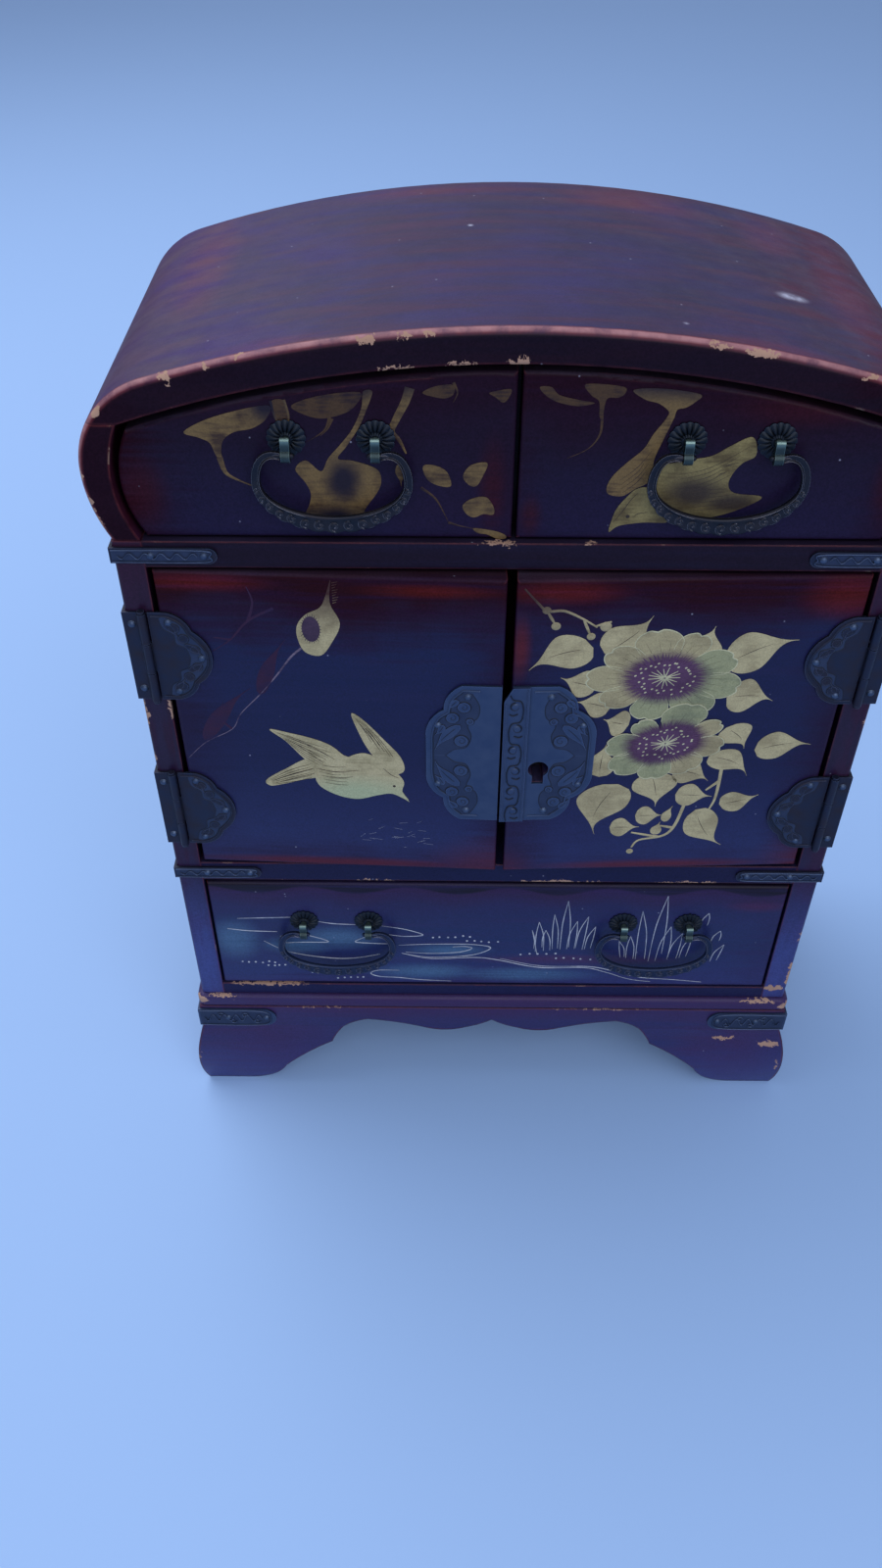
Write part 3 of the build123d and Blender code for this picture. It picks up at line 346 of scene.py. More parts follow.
caseLook = {
    "across": [(0, 0.4), (0.03, 0.15), (0.1, 0.1), (0.9, 0.1), (0.97, 0.15), (1, 0.4)],
    "up": [(0, 0.1), (0.3, 0.05), (0.8, 0.1), (1, 0.5)], "heart": "#140f2a", "lowTone": "#272a5a",
    "lowTo": 0.45, "rim": "#3c1522", "streakTone": "#2b1e3c", "streakSize": (5, 5, 70),
    "shine": (0.25, 0.35),
    "glazeTone": "#44589e", "glaze": [(-101, -53, 66, 20, 7, 60), (101, -53, 66, 20, 7, 60)],
    "chips": [(-105.4, -50, 178, 2.2, 4, 15), (-104.8, -50, 162, 1.6, 3, 4), (105.4, -50, 122, 2, 4, 5),
              (105.4, -50, 82, 2, 3, 6), (105, -50, 62, 2.4, 4, 12), (99, -50, 54, 8, 4, 2.4),
              (-97.2, -50, 181, 1.2, 3, 8), (-105.4, -50, 130, 1.6, 3, 6), (105.4, -50, 178, 2, 4, 9)],
}
railLook = {
    "heart": "#0c0c1e", "lowTone": "#13204a", "lowTo": 0.9, "rim": "#2a101c", "streakTone": "#191a34",
    "shine": (0.14, 0.3),
    "chips": [(20, -50, 108.7, 26, 4, 0.8), (62, -50, 108.7, 18, 4, 0.7), (-40, -50, 108.7, 12, 4, 0.6),
              (-4, -50, 237, 9, 4, 0.9), (20, -50, 237, 3, 4, 0.8), (-80, -50, 53.8, 26, 4, 1.2)],
}
baseLook = {
    "across": [(0, 0.2), (0.12, 0.35), (0.3, 0.05), (0.55, 0.2), (0.75, 0.05), (0.9, 0.35), (1, 0.2)],
    "up": [(0, 0.1), (0.4, 0.05), (0.85, 0.2), (1, 0.45)], "heart": "#182558", "lowTone": "#2b4080",
    "lowTo": 0.6, "rim": "#4a1c38", "streakTone": "#38244c", "bloomTone": "#3c4070", "wearWidth": 1,
    "shine": (0.4, 0.35),
    "chips": [(-106.5, -52, 46.5, 7, 6, 3), (-97, -52, 48.3, 12, 5, 1.2), (106.5, -52, 45.5, 7, 6, 3.4),
              (95, -52, 47.8, 12, 5, 1.1), (103, -53, 25, 7, 5, 2.4), (108, -52, 14, 2, 5, 10),
              (-109, -52, 17, 2, 5, 8), (86, -53, 27.5, 8, 4, 1), (-60, -53, 42.6, 30, 4, 0.7),
              (40, -53, 42.6, 40, 4, 0.6)],
}
caseLow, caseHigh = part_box("left_side")[0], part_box("right_side")[1]
roofLow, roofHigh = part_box("left_shoulder")[0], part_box("right_shoulder")[1]
roofHigh.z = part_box("arched_top")[1].z
dress(("arched_top", "left_shoulder", "right_shoulder"),
      lacquer("rubbedLacquerRoof", roofLow, roofHigh, roofLook))
dress(("left_side", "right_side"), lacquer("rubbedLacquerSides", caseLow, caseHigh, caseLook))
dress(("mid_shelf", "lower_shelf", "bottom_board", "door_stop", "drawer_divider"),
      lacquer("rubbedLacquerRails", caseLow, caseHigh, railLook))
dress(("base_moulding", "plinth_front", "plinth_left", "plinth_right"),
      lacquer("rubbedLacquerBase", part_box("plinth_left")[0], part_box("plinth_right")[1], baseLook))

upperTones = {"heart": "#161126", "lowTone": "#1b1736", "lowTo": 0.6, "rim": "#220912",
              "glowTone": "#330c12", "streakTone": "#20172e", "shine": (0.11, 0.3), "bloomTone": "#5c5870"}
doorTones = {"heart": "#10153c", "lowTone": "#242b57", "lowTo": 0.4, "rim": "#260a0f", "glowTone": "#5a180f",
             "streakTone": "#1f1b42", "shine": (0.24, 0.3), "bloomTone": "#5c5870"}
frontLooks = {
    "left_door_panel": {
        **doorTones, "across": [(0, 0.4), (0.08, 0.2), (0.2, 0.02), (0.8, 0), (0.9, 0.1), (0.97, 0.35),
                                (1, 0.5)],
        "up": [(0, 0.5), (0.05, 0.3), (0.12, 0.05), (0.76, 0), (0.86, 0.6), (0.93, 0.95), (1, 1)],
        "glow": [(-84, -50, 225, 26, 20, 4), (-22, -52, 224, 26, 20, 3), (-50, -52, 119.5, 60, 20, 3),
                 (2, -53, 112, 34, 20, 26)]},
    "right_door_panel": {
        **doorTones, "across": [(0, 0.5), (0.06, 0.4), (0.16, 0.1), (0.84, 0.05), (0.94, 0.35), (1, 0.6)],
        "up": [(0, 0.35), (0.05, 0.15), (0.1, 0), (0.78, 0), (0.88, 0.5), (0.95, 0.95), (1, 1)],
        "glow": [(90, -50, 222, 16, 20, 10), (14, -53, 224, 22, 20, 5), (3, -53, 206, 4, 20, 14),
                 (50, -52, 119.5, 50, 20, 3), (100, -52, 112, 24, 20, 28), (-2, -53, 110, 20, 20, 22)]},
    "upper_left_drawer_front": {
        **upperTones, "across": [(0, 0.9), (0.07, 0.6), (0.18, 0.1), (0.6, 0.1), (0.88, 0.3), (1, 0.5)],
        "up": [(0, 0.1), (0.3, 0), (0.6, 0.25), (0.85, 0.6), (1, 0.75)],
        "glow": [(-95, -48, 250, 9, 20, 14), (-6, -48, 252, 5, 20, 18)]},
    "upper_right_drawer_front": {
        **upperTones, "across": [(0, 0.4), (0.1, 0.15), (0.5, 0.1), (0.85, 0.2), (1, 0.6)],
        "up": [(0, 0.1), (0.35, 0), (0.6, 0.35), (0.85, 0.75), (1, 0.85)],
        "glow": [(95, -48, 254, 7, 20, 16), (70, -48, 274, 26, 20, 7), (4, -48, 244, 4, 20, 8)]},
    "lower_drawer_front": {
        "across": [(0, 0.1), (0.3, 0), (0.8, 0), (0.95, 0.15), (1, 0.3)],
        "up": [(0, 0.5), (0.07, 0.15), (0.3, 0), (0.6, 0.1), (0.85, 0.4), (1, 0.6)],
        "heart": "#18244f", "lowTone": "#232d60", "rim": "#2e1838", "streakTone": "#2c2452",
        "shine": (0.33, 0.3), "streaks": 0.5,
        "glow": [(30, -49, 68, 50, 20, 4), (88, -49, 97, 14, 20, 4)], "glowTone": "#4a2040",
        "glazeTone": "#466a88", "swag": {"period": 33.6, "phase": 0.9, "depth": 1.6, "level": 103.2},
        "glaze": [(-54, -49, 79, 20, 20, 8), (-68, -49, 75, 18, 20, 6), (-16, -49, 73, 18, 20, 4),
                  (-24, -49, 61, 26, 20, 6), (10, -49, 60, 34, 20, 5), (-90, -49, 78, 12, 20, 14)]},
}
for nodeName, look in frontLooks.items():
    dress([nodeName], lacquer("rubbedLacquer_" + nodeName, *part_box(nodeName), look))
print("lacquered boards are dressed")

# Cypress boards, planed and left plain or stained on the back: straight fine grain, a dry matt face
woodLooks = {
    "plainCypress": {"pale": "#a98358", "dark": "#7d5836", "rough": 0.62, "grain": (1.5, 45, 1.5)},
    "stainedCypressBack": {"pale": "#47281f", "dark": "#2b1613", "rough": 0.55, "grain": (3.5, 3.5, 70)},
}
woods = {}
for woodName, look in woodLooks.items():
    woods[woodName], tree, shader, add = newMaterial(woodName)
    coords = add("TexCoord").outputs["Object"]
    bend = noise(add, coords, patternSizes["bend"], 2, 0.5, "Color")
    bent = vectorCalc(add, "MULTIPLY_ADD", bend, [4 * mm] * 3, coords)
    long = add("Mapping", {0: bent, 3: [1 / size for size in look["grain"]]}).outputs[0]
    grain = noise(add, long, 1, 5, 0.62)
    stops = [(0.3, look["dark"]), (0.5, look["pale"]), (0.72, look["dark"])]
    tree.links.new(add("ValToRGB", {0: grain}, stops=stops).outputs[0], shader.inputs["Base Color"])
    rough = ranged(add, grain, 0, 1, look["rough"] - 0.1, look["rough"] + 0.15)
    tree.links.new(rough, shader.inputs["Roughness"])
    bump = add("Bump", {"Height": grain, "Strength": 0.3, "Distance": 0.1 * mm}).outputs[0]
    tree.links.new(bump, shader.inputs["Normal"])
boxParts = ("left_side", "right_side", "back", "bottom")
boxBoards = [f"{drawer}_{board}" for drawer in drawerNames for board in boxParts]
dress(boxBoards + ["foot_blocks"], woods["plainCypress"])
dress(("back_panel", "plinth_back"), woods["stainedCypressBack"])

# Stamped sheet metal, blacked and gone blue-grey: dull faces, grime and painted shade in the hollows,
# paler worn edges brightened into a painted highlight
metalPlain = {"rough": 0.44, "metallic": 0.6}
metalLooks = {
    "blackedSheetMetal": {"tone": "#2f3e5b", "mottle": "#394864", "worn": "#66769a", "grime": "#0b0e1a"},
    "darkenedHingeMetal": {"tone": "#1b2238", "mottle": "#25212e", "worn": "#5f6680", "grime": "#0a0c16"},
    "sootedGroundMetal": {"tone": "#222d47", "mottle": "#2c3853", "worn": "#42506c", "grime": "#090c16",
                          "rough": 0.55, "metallic": 0.5},
    "engravedLineMetal": {"tone": "#0f1524", "mottle": "#161e30", "worn": "#1f2940", "grime": "#05070d",
                          "rough": 0.6, "metallic": 0.3},
    "brownedHandleMetal": {"tone": "#171b26", "mottle": "#26242b", "worn": "#93909a", "grime": "#08090f",
                           "rough": 0.36, "metallic": 0.7, "bright": "#212d49",
                           "rubbed": [(0, -60, 76, 300, 90, 40)]},
    "blackedRosetteMetal": {"tone": "#10171f", "mottle": "#18202c", "worn": "#415268", "grime": "#04060a",
                            "rough": 0.42, "metallic": 0.7},
    "wornNailMetal": {"tone": "#4a5870", "mottle": "#39465e", "worn": "#8d9bae", "grime": "#10131d",
                      "rough": 0.38, "metallic": 0.8},
    "wornPostMetal": {"tone": "#2a3536", "mottle": "#364445", "worn": "#6f8480", "grime": "#0a0e10",
                      "rough": 0.36, "metallic": 0.8, "bright": "#748a83",
                      "rubbed": [(0, -50, 267.6, 300, 60, 2.4), (0, -50, 90.1, 300, 60, 2.4)]},
    "lockSteel": {"tone": "#6e7178", "mottle": "#5a5c63", "worn": "#a4a8ae", "grime": "#15161a",
                  "rough": 0.4, "metallic": 0.9},
}
metals = {}
for metalName, look in metalLooks.items():
    look = {**metalPlain, **look}
    metals[metalName], tree, shader, add = newMaterial(metalName)
    coords = add("TexCoord").outputs["Object"]
    normal = add("NewGeometry").outputs["Normal"]
    blotch = noise(add, coords, patternSizes["blotch"], 5, 0.6)
    patina = add("ValToRGB", {0: blotch}, stops=[(0.35, look["tone"]), (0.68, look["mottle"])]).outputs[0]
    if "rubbed" in look:  # painted highlight at the top of the posts, bluer painted reflection on the lower handles
        field = spotField(add, coords, look["rubbed"])
        patina = blend(add, field, patina, look["bright"])
    # grime and painted shade in the hollows and where parts meet
    hollow = add("AmbientOcclusion", {"Distance": 1 * mm}, samples=4).outputs["AO"]
    grime = ranged(add, hollow, 0.35, 0.9, 0.9, 0)
    tone = blend(add, grime, patina, look["grime"])
    # paler worn edges, brightened into a painted highlight
    eased, same = edgeShare(add, normal, 0.25)
    edge = ranged(add, same, 0.99, 0.8, 0, 0.8)
    edge = calc(add, "MULTIPLY", edge, hollow)
    tone = blend(add, edge, tone, look["worn"])
    tree.links.new(tone, shader.inputs["Base Color"])
    rough = ranged(add, blotch, 0.3, 0.7, look["rough"] - 0.08, look["rough"] + 0.14)
    tree.links.new(rough, shader.inputs["Roughness"])
    pits = noise(add, coords, patternSizes["pit"], 3)
    bump = add("Bump", {"Height": pits, "Strength": 0.2, "Distance": 0.05 * mm}).outputs[0]
    tree.links.new(bump, shader.inputs["Normal"])
    shader.inputs["Metallic"].default_value = look["metallic"]
dress(("plinth_straps", "left_lock_plate", "right_lock_plate", "lock_astragal"),
      metals["blackedSheetMetal"])
dress(("rail_straps", "left_hinge_case_leaves", "right_hinge_case_leaves", "hinge_pins",
       "left_hinge_door_leaves", "right_hinge_door_leaves"), metals["darkenedHingeMetal"])
dress(("case_nails", "left_door_nails", "right_door_nails"), metals["wornNailMetal"])
dress([f"{drawer}_posts" for drawer in drawerNames], metals["wornPostMetal"])
dress(("lock_case", "lock_bolt", "lock_keeper"), metals["lockSteel"])
print("wood and metal are dressed")

# Lacquer paint laid on by brush: matt powdered gold and faded colours, streaked by the hairs of the brush
paintPlain = {"rough": 0.5, "metallic": 0.1, "brush": 0.6, "fade": (0.2, 1.1)}
paintLooks = {
    "powderedGoldPaint": {"tone": "#aea17a", "shade": "#958866"},
    "birdGoldPaint": {"tone": "#b0a37d", "shade": "#938764", "brush": 0.7,
                      "spots": [(-44, -52, 149, 26, 60, 11)], "spotTone": "#a0a682"},
    "budGoldPaint": {"tone": "#a99c76", "shade": "#8b7e5e", "brush": 0.7,
                     "spots": [(-48, -52, 228, 22, 60, 22)], "spotTone": "#3c2320"},
    "twigGoldPaint": {"tone": "#a09370", "shade": "#7d7053", "brush": 0.7,
                      "spots": [(4, -53, 226, 24, 60, 20)], "spotTone": "#3d2a26"},
    "goldPetalPaint": {"tone": "#a0946f", "shade": "#887c5d"},
    "greenPetalPaint": {"tone": "#90906c", "shade": "#797b5e", "rough": 0.52},
    "paleRimPaint": {"tone": "#b8b491", "shade": "#9b987a", "brush": 0.4},
    "fadedBirdPaint": {"tone": "#7d7048", "shade": "#54472d", "brush": 0.8,
                       "spots": [(45, -48, 251, 13, 60, 8), (55, -48, 248, 14, 60, 5)],
                       "spotTone": "#352c26"},
    "fadedGoldPaint": {"tone": "#6a5535", "shade": "#3c2c22", "brush": 0.9,
                       "spots": [(-43.5, -48, 254, 7, 60, 10), (-46, -48, 243, 10, 60, 7),
                                 (-40, -48, 282, 90, 60, 10), (-61, -48, 274, 8, 60, 8),
                                 (38, -48, 281, 40, 60, 8)],
                       "spotTone": "#1c1522"},
    "rubbedGoldPaint": {"tone": "#43301f", "shade": "#21121a", "rough": 0.48, "metallic": 0.05,
                        "brush": 1.2},
    "purpleHeartPaint": {"tone": "#533752", "shade": "#452c44", "metallic": 0, "brush": 0.3},
    "budEyePaint": {"tone": "#3f2d40", "shade": "#2f2133", "rough": 0.45, "metallic": 0, "brush": 0.8},
    "brownLinePaint": {"tone": "#53493a", "shade": "#40372d", "rough": 0.55, "metallic": 0, "brush": 0.4},
    "darkLinePaint": {"tone": "#3a302a", "shade": "#2a2320", "rough": 0.55, "metallic": 0, "brush": 0.4},
    "silverLinePaint": {"tone": "#aeb0b6", "shade": "#858a98", "rough": 0.45, "metallic": 0.15,
                        "brush": 0.4},
    "rubbedTwigPaint": {"tone": "#6a5c6c", "shade": "#33263f", "rough": 0.45, "metallic": 0, "brush": 1.2},
    "ghostLeafPaint": {"tone": "#2e1530", "shade": "#221434", "rough": 0.42, "metallic": 0, "brush": 0.8},
}
heartSpots = [(44, -52, 195.2, 20.6, 60, 15), (44.6, -52, 170.2, 16.5, 60, 13),
              (49.6, -52, 172, 16.5, 60, 13)]
for petalPaint in ("goldPetalPaint", "greenPetalPaint"):
    paintLooks[petalPaint].update({"spots": heartSpots, "spotTone": "#4a2f48", "fade": (0.45, 0.85)})
paints = {}
for paintName, look in paintLooks.items():
    look = {**paintPlain, **look}
    paints[paintName], tree, shader, add = newMaterial(paintName)
    coords = add("TexCoord").outputs["Object"]
    hairs = add("Mapping", {0: coords, 2: (0, 0.6, 0), 3: (1 / 6, 1 / 6, 1 / 0.8)}).outputs[0]
    stroke = noise(add, hairs, 1, 4)
    cloud = noise(add, coords, patternSizes["brushCloud"], 4)
    both = calc(add, "MULTIPLY_ADD", stroke, look["brush"] * 0.5, cloud)
    middle = 0.5 + look["brush"] * 0.25
    stops = [(middle - 0.16, look["shade"]), (middle + 0.06, look["tone"])]
    tone = add("ValToRGB", {0: both}, stops=stops).outputs[0]
    if "spots" in look:  # another colour breathed on softly, or the paint rubbed thin
        field = spotField(add, coords, look["spots"])
        field = calc(add, "MULTIPLY_ADD", stroke, 0.3, field)
        start, end = look["fade"]
        field = ranged(add, field, start, end)
        tone = blend(add, field, tone, look["spotTone"])
    mottle = noise(add, coords, patternSizes["paintGrain"], 2)
    shade = ranged(add, mottle, 0.3, 0.7, 0.84, 1.16)
    tone = add("HueSaturation", {"Value": shade, "Color": tone}).outputs[0]
    tree.links.new(tone, shader.inputs["Base Color"])
    rough = ranged(add, stroke, 0.3, 0.7, look["rough"] - 0.06, look["rough"] + 0.1)
    tree.links.new(rough, shader.inputs["Roughness"])
    bump = add("Bump", {"Height": stroke, "Strength": 0.25, "Distance": 0.05 * mm}).outputs[0]
    tree.links.new(bump, shader.inputs["Normal"])
    shader.inputs["Metallic"].default_value = look["metallic"]
    shader.inputs["Specular IOR Level"].default_value = 0.2


# Drawing tools: outlines and lines are millimetres on an upright face, across and up
def around(count):  # angles of a full turn
    return [k * math.tau / count for k in range(count)]


def ellipse(x, z, wide, tall, count=28):
    return [(x + wide * math.cos(a), z + tall * math.sin(a)) for a in around(count)]


def smoothLine(points, closed=False, steps=5):
    count, drawn = len(points), []
    for i in range(count if closed else count - 1):
        ends = [k % count if closed else min(max(k, 0), count - 1) for k in (i - 1, i, i + 1, i + 2)]
        p, q, r, s = (Vector(points[k]) for k in ends)
        for step in range(steps):
            t = step / steps
            cubic = 2 * q + (r - p) * t + (2 * p - 5 * q + 4 * r - s) * t * t
            cubic += (3 * q - p - 3 * r + s) * t ** 3
            drawn.append(tuple(cubic / 2))
    return drawn if closed else drawn + [tuple(points[-1])]


def addShape(bm, outline, place, foot, rise):  # a thin flat film with an outline
    top = [bm.verts.new(place(x, z, rise)) for x, z in outline]
    under = [bm.verts.new(place(x, z, foot)) for x, z in outline]
    for a, b, c in tessellate_polygon([[Vector((x, z, 0)) for x, z in outline]]):
        bm.faces.new((top[a], top[b], top[c]))
        bm.faces.new((under[c], under[b], under[a]))
    for i in range(len(top)):
        bm.faces.new((top[i - 1], under[i - 1], under[i], top[i]))


def addStroke(bm, line, widths, place, foot, rise):  # a rounded line; widths at the start, middle and end
    line, rings = [Vector(point) for point in line], []
    start, middle, end = widths
    for i, spot in enumerate(line):
        t = i / (len(line) - 1)
        wide = start + (middle - start) * 2 * t if t < 0.5 else middle + (end - middle) * (2 * t - 1)
        along = (line[min(i + 1, len(line) - 1)] - line[max(i - 1, 0)]).normalized()
        side = Vector((-along.y, along.x)) * max(wide, 0.04) / 2
        section = ((-1, 0), (-0.62, 0.8), (0, 1), (0.62, 0.8), (1, 0))
        spots = [(spot + side * k, foot + (rise - foot) * h) for k, h in section]
        rings.append([bm.verts.new(place(*flat, height)) for flat, height in spots])
    for near, far in zip(rings, rings[1:]):
        for k in range(5):
            bm.faces.new((near[k - 1], near[k], far[k], far[k - 1]))
    bm.faces.new(rings[0])
    bm.faces.new(rings[-1][::-1])


def addDot(bm, x, z, radius, place, foot, rise):  # a small dome
    rings, count = [], 8 if radius < 1 else 20
    for share, lift in ((1, 0), (0.86, 0.6), (0.6, 0.9)):
        ring, height = ellipse(x, z, share * radius, share * radius, count), foot + (rise - foot) * lift
        rings.append([bm.verts.new(place(*spot, height)) for spot in ring])
    tip = bm.verts.new(place(x, z, rise))
    bm.faces.new(rings[0][::-1])
    for k in range(count):
        for low, high in zip(rings, rings[1:]):
            bm.faces.new((low[k - 1], low[k], high[k], high[k - 1]))
        bm.faces.new((rings[-1][k - 1], rings[-1][k], tip))


def addQuills(bm, quills, longest, width, place, foot, rise):  # fine lines between a first and a last one
    for first, last, count in quills:
        for k in range(count):
            line = [Vector(a).lerp(Vector(b), k / (count - 1)) for a, b in zip(first, last)]
            line[-1] = line[0].lerp(line[-1], random.uniform(0.75, longest))
            addStroke(bm, smoothLine(line), (0.05, width, 0.06), place, foot, rise)


def makePiece(bm, name, material, body, sharp=40):
    bmesh.ops.recalc_face_normals(bm, faces=bm.faces)
    mesh = bpy.data.meshes.new(name)
    bm.to_mesh(mesh)
    bm.free()
    mesh.shade_smooth()
    mesh.set_sharp_from_angle(angle=math.radians(sharp))
    mesh.materials.append(material)
    piece = bpy.data.objects.new(name, mesh)
    scene.collection.objects.link(piece)
    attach(piece, body)
    return piece


def metalPiece(bm, name, metal, body, sharp=60):
    return makePiece(bm, name, metals[metal], body, sharp)


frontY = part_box("left_side")[0].y / mm
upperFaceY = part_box("upper_left_drawer_front")[0].y / mm
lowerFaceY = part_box("lower_drawer_front")[0].y / mm


def facePlace(faceY):  # an upright face square to the front
    return lambda x, z, rise: Vector((x, faceY - rise, z)) * mm


def doorPlace(word):  # a door's face, across from its hinge axis
    joint = joints[word + "_door_hinge"]
    side = 1 if word == "right" else -1
    ajar = math.radians(-joint["range_deg"][0])
    out = Vector((side * math.sin(ajar), -math.cos(ajar), 0))
    across = Vector((math.cos(ajar), side * math.sin(ajar), 0))
    axis = Vector(joint["pos_m"]) / mm
    foot = Vector((axis.x, axis.y, 0)) - out * (frontY - axis.y)
    return lambda x, z, rise: (foot + across * x + out * rise + Vector((0, 0, z))) * mm


leftDoor, rightDoor = doorPlace("left"), doorPlace("right")
upperFace, lowerFace, caseFace = facePlace(upperFaceY), facePlace(lowerFaceY), facePlace(frontY)
plinthFace = facePlace(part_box("plinth_straps")[0].y / mm + 0.8)
# Heights of the paint films above the lacquer, in millimetres
filmRise = {"scratch": 0.03, "wash": 0.05, "thin": 0.06, "coat": 0.10, "line": 0.12, "bead": 0.16}


def leafOutline(foot, tip, width, bend):  # round at the foot, drawn out to a thin curling tip
    start, along = Vector(foot), Vector(tip) - Vector(foot)
    across = Vector((-along.y, along.x)) / along.length
    left, right, vein = [], [], []
    for i in range(19):
        t = i / 18
        if t < 0.36:
            full = math.sqrt(1 - ((0.36 - t) / 0.36) ** 2)
        else:
            full = (0.5 + 0.5 * math.cos(math.pi * (t - 0.36) / 0.64)) ** 1.4
        middle = start + along * t + across * bend * along.length * (t - t ** 3)
        left.append(tuple(middle + across * (width / 2 * full + 0.06)))
        right.append(tuple(middle - across * (width / 2 * full + 0.06)))
        vein.append(tuple(middle))
    return left + right[::-1], vein[3:13]


# Right door: two peonies among leaves
peonyLook = {
    "widths": {"vein": (0.14, 0.34, 0.08), "stem": (1.1, 0.9, 0.6), "twig": (0.5, 0.9, 0.5),
               "rim": (0.2, 0.5, 0.2), "fold": (0.16, 0.12, 0.05), "fringe": (0.6, 0.4, 0.05),
               "ray": (0.45, 0.35, 0.2), "tick": (0.3, 0.6, 0.3)},
    "leaves": [  # foot, tip, width, bend
        ((-77.3, 206), (-94.6, 198.6), 12, -0.26), ((-74, 204), (-61.8, 216.4), 12, -0.16),
        ((-47.6, 201.6), (-44.4, 212.6), 10, 0), ((-39.8, 199.6), (-20.6, 207.6), 13.4, 0.2),
        ((-37.6, 187.6), (-24.2, 186.2), 12, 0.28), ((-75, 192.6), (-85.6, 195.8), 9.6, 0.1),
        ((-70.7, 184.6), (-80.8, 187), 9.2, -0.1), ((-64.7, 178.2), (-72.2, 180.4), 9.6, 0.1),
        ((-71.6, 158), (-70.2, 171.4), 8.6, 0.1), ((-65.4, 154.8), (-71, 133.6), 15.6, -0.34),
        ((-55.8, 159), (-53.2, 145.2), 13.6, 0.12), ((-49.2, 160.2), (-38.3, 155.5), 9.6, 0.24),
        ((-39.4, 165.4), (-26.9, 157.4), 8.8, 0.38), ((-36, 176.4), (-29.5, 168.2), 10, 0.34),
        ((-26.2, 167.6), (-9.8, 169.4), 10.2, 0.2), ((-47.5, 150), (-36.2, 149), 9, 0.05),
        ((-33.4, 145.7), (-21.8, 149.4), 8.2, -0.12), ((-40.4, 143.4), (-30.2, 127.8), 11.4, -0.24),
        ((-58.9, 141.4), (-50.4, 141.4), 7.6, 0), ((-66.4, 136.5), (-57.2, 136.5), 7.8, 0),
        ((-49.7, 138.6), (-47.7, 145.2), 3, 0.1), ((-52.2, 133), (-50.8, 138.6), 3.4, 0)],
    "stems": [[(-34.9, 161), (-34.8, 153.7), (-35.1, 147.6), (-36.2, 143.6)],
              [(-34.9, 155.2), (-38.4, 151.6)],
              [(-44, 147), (-45.6, 138.3), (-47.5, 133.8), (-50.6, 131.8), (-56.7, 130.5), (-58.6, 127.4)],
              [(-50.6, 131.8), (-59.4, 134)], [(-46.7, 135.8), (-50.8, 136.8)]],
    "twigs": [[(-97, 225.6), (-93.6, 221.4), (-90.6, 218.4), (-86, 218.3), (-80.8, 215.6), (-76.8, 212.8)],
              [(-80.6, 215.4), (-78.6, 210.6)], [(-77.2, 213.2), (-73, 214.6)],
              [(-90.6, 218.2), (-88.4, 214.2)]],
    "buds": [(-59, 125.6, 1.1), (-88, 213.4, 1.3), (-78.2, 209.8, 1.2), (-74.4, 213, 1.6),
             (-90.8, 218.6, 1.2)],
    "flowers": [  # middle, half width, half height, lean; petals by angle, width and reach
        {"middle": (-56.3, 195.2), "reach": (22.4, 16.8), "heart": (11.4, 8.4), "lean": 0,
         "gold": [(100, 50, 1), (66, 36, 0.97), (142, 44, 0.93), (180, 44, 1), (216, 40, 0.93)],
         "green": [(26, 46, 0.95), (-14, 46, 1), (-54, 50, 0.96), (258, 44, 0.92)]},
        {"middle": (-53.2, 171), "reach": (18.6, 13.8), "heart": (10.7, 7.8), "lean": 20,
         "gold": [(-76, 52, 1), (-34, 46, 1), (6, 38, 0.94)],
         "green": [(202, 54, 1.02), (156, 50, 0.98), (112, 40, 0.84), (56, 60, 1.04), (246, 46, 0.98)]}],
}


def onFlower(flower, size, angle, share):
    lean = math.radians(flower["lean"])
    x, z = share * flower[size][0] * math.cos(angle), share * flower[size][1] * math.sin(angle)
    return (flower["middle"][0] + x * math.cos(lean) - z * math.sin(lean),
            flower["middle"][1] + x * math.sin(lean) + z * math.cos(lean))


def petalOutline(flower, angle, width, reach):
    outline = []
    for i in range(25):
        t = i / 24
        far = reach * (0.6 + 0.4 * math.sin(math.pi * t) ** 0.4 - 0.05 * math.exp(-((t - 0.5) / 0.06) ** 2))
        outline.append(onFlower(flower, "reach", math.radians(angle + (t - 0.5) * width), far))
    return outline + [onFlower(flower, "reach", 0, 0)]


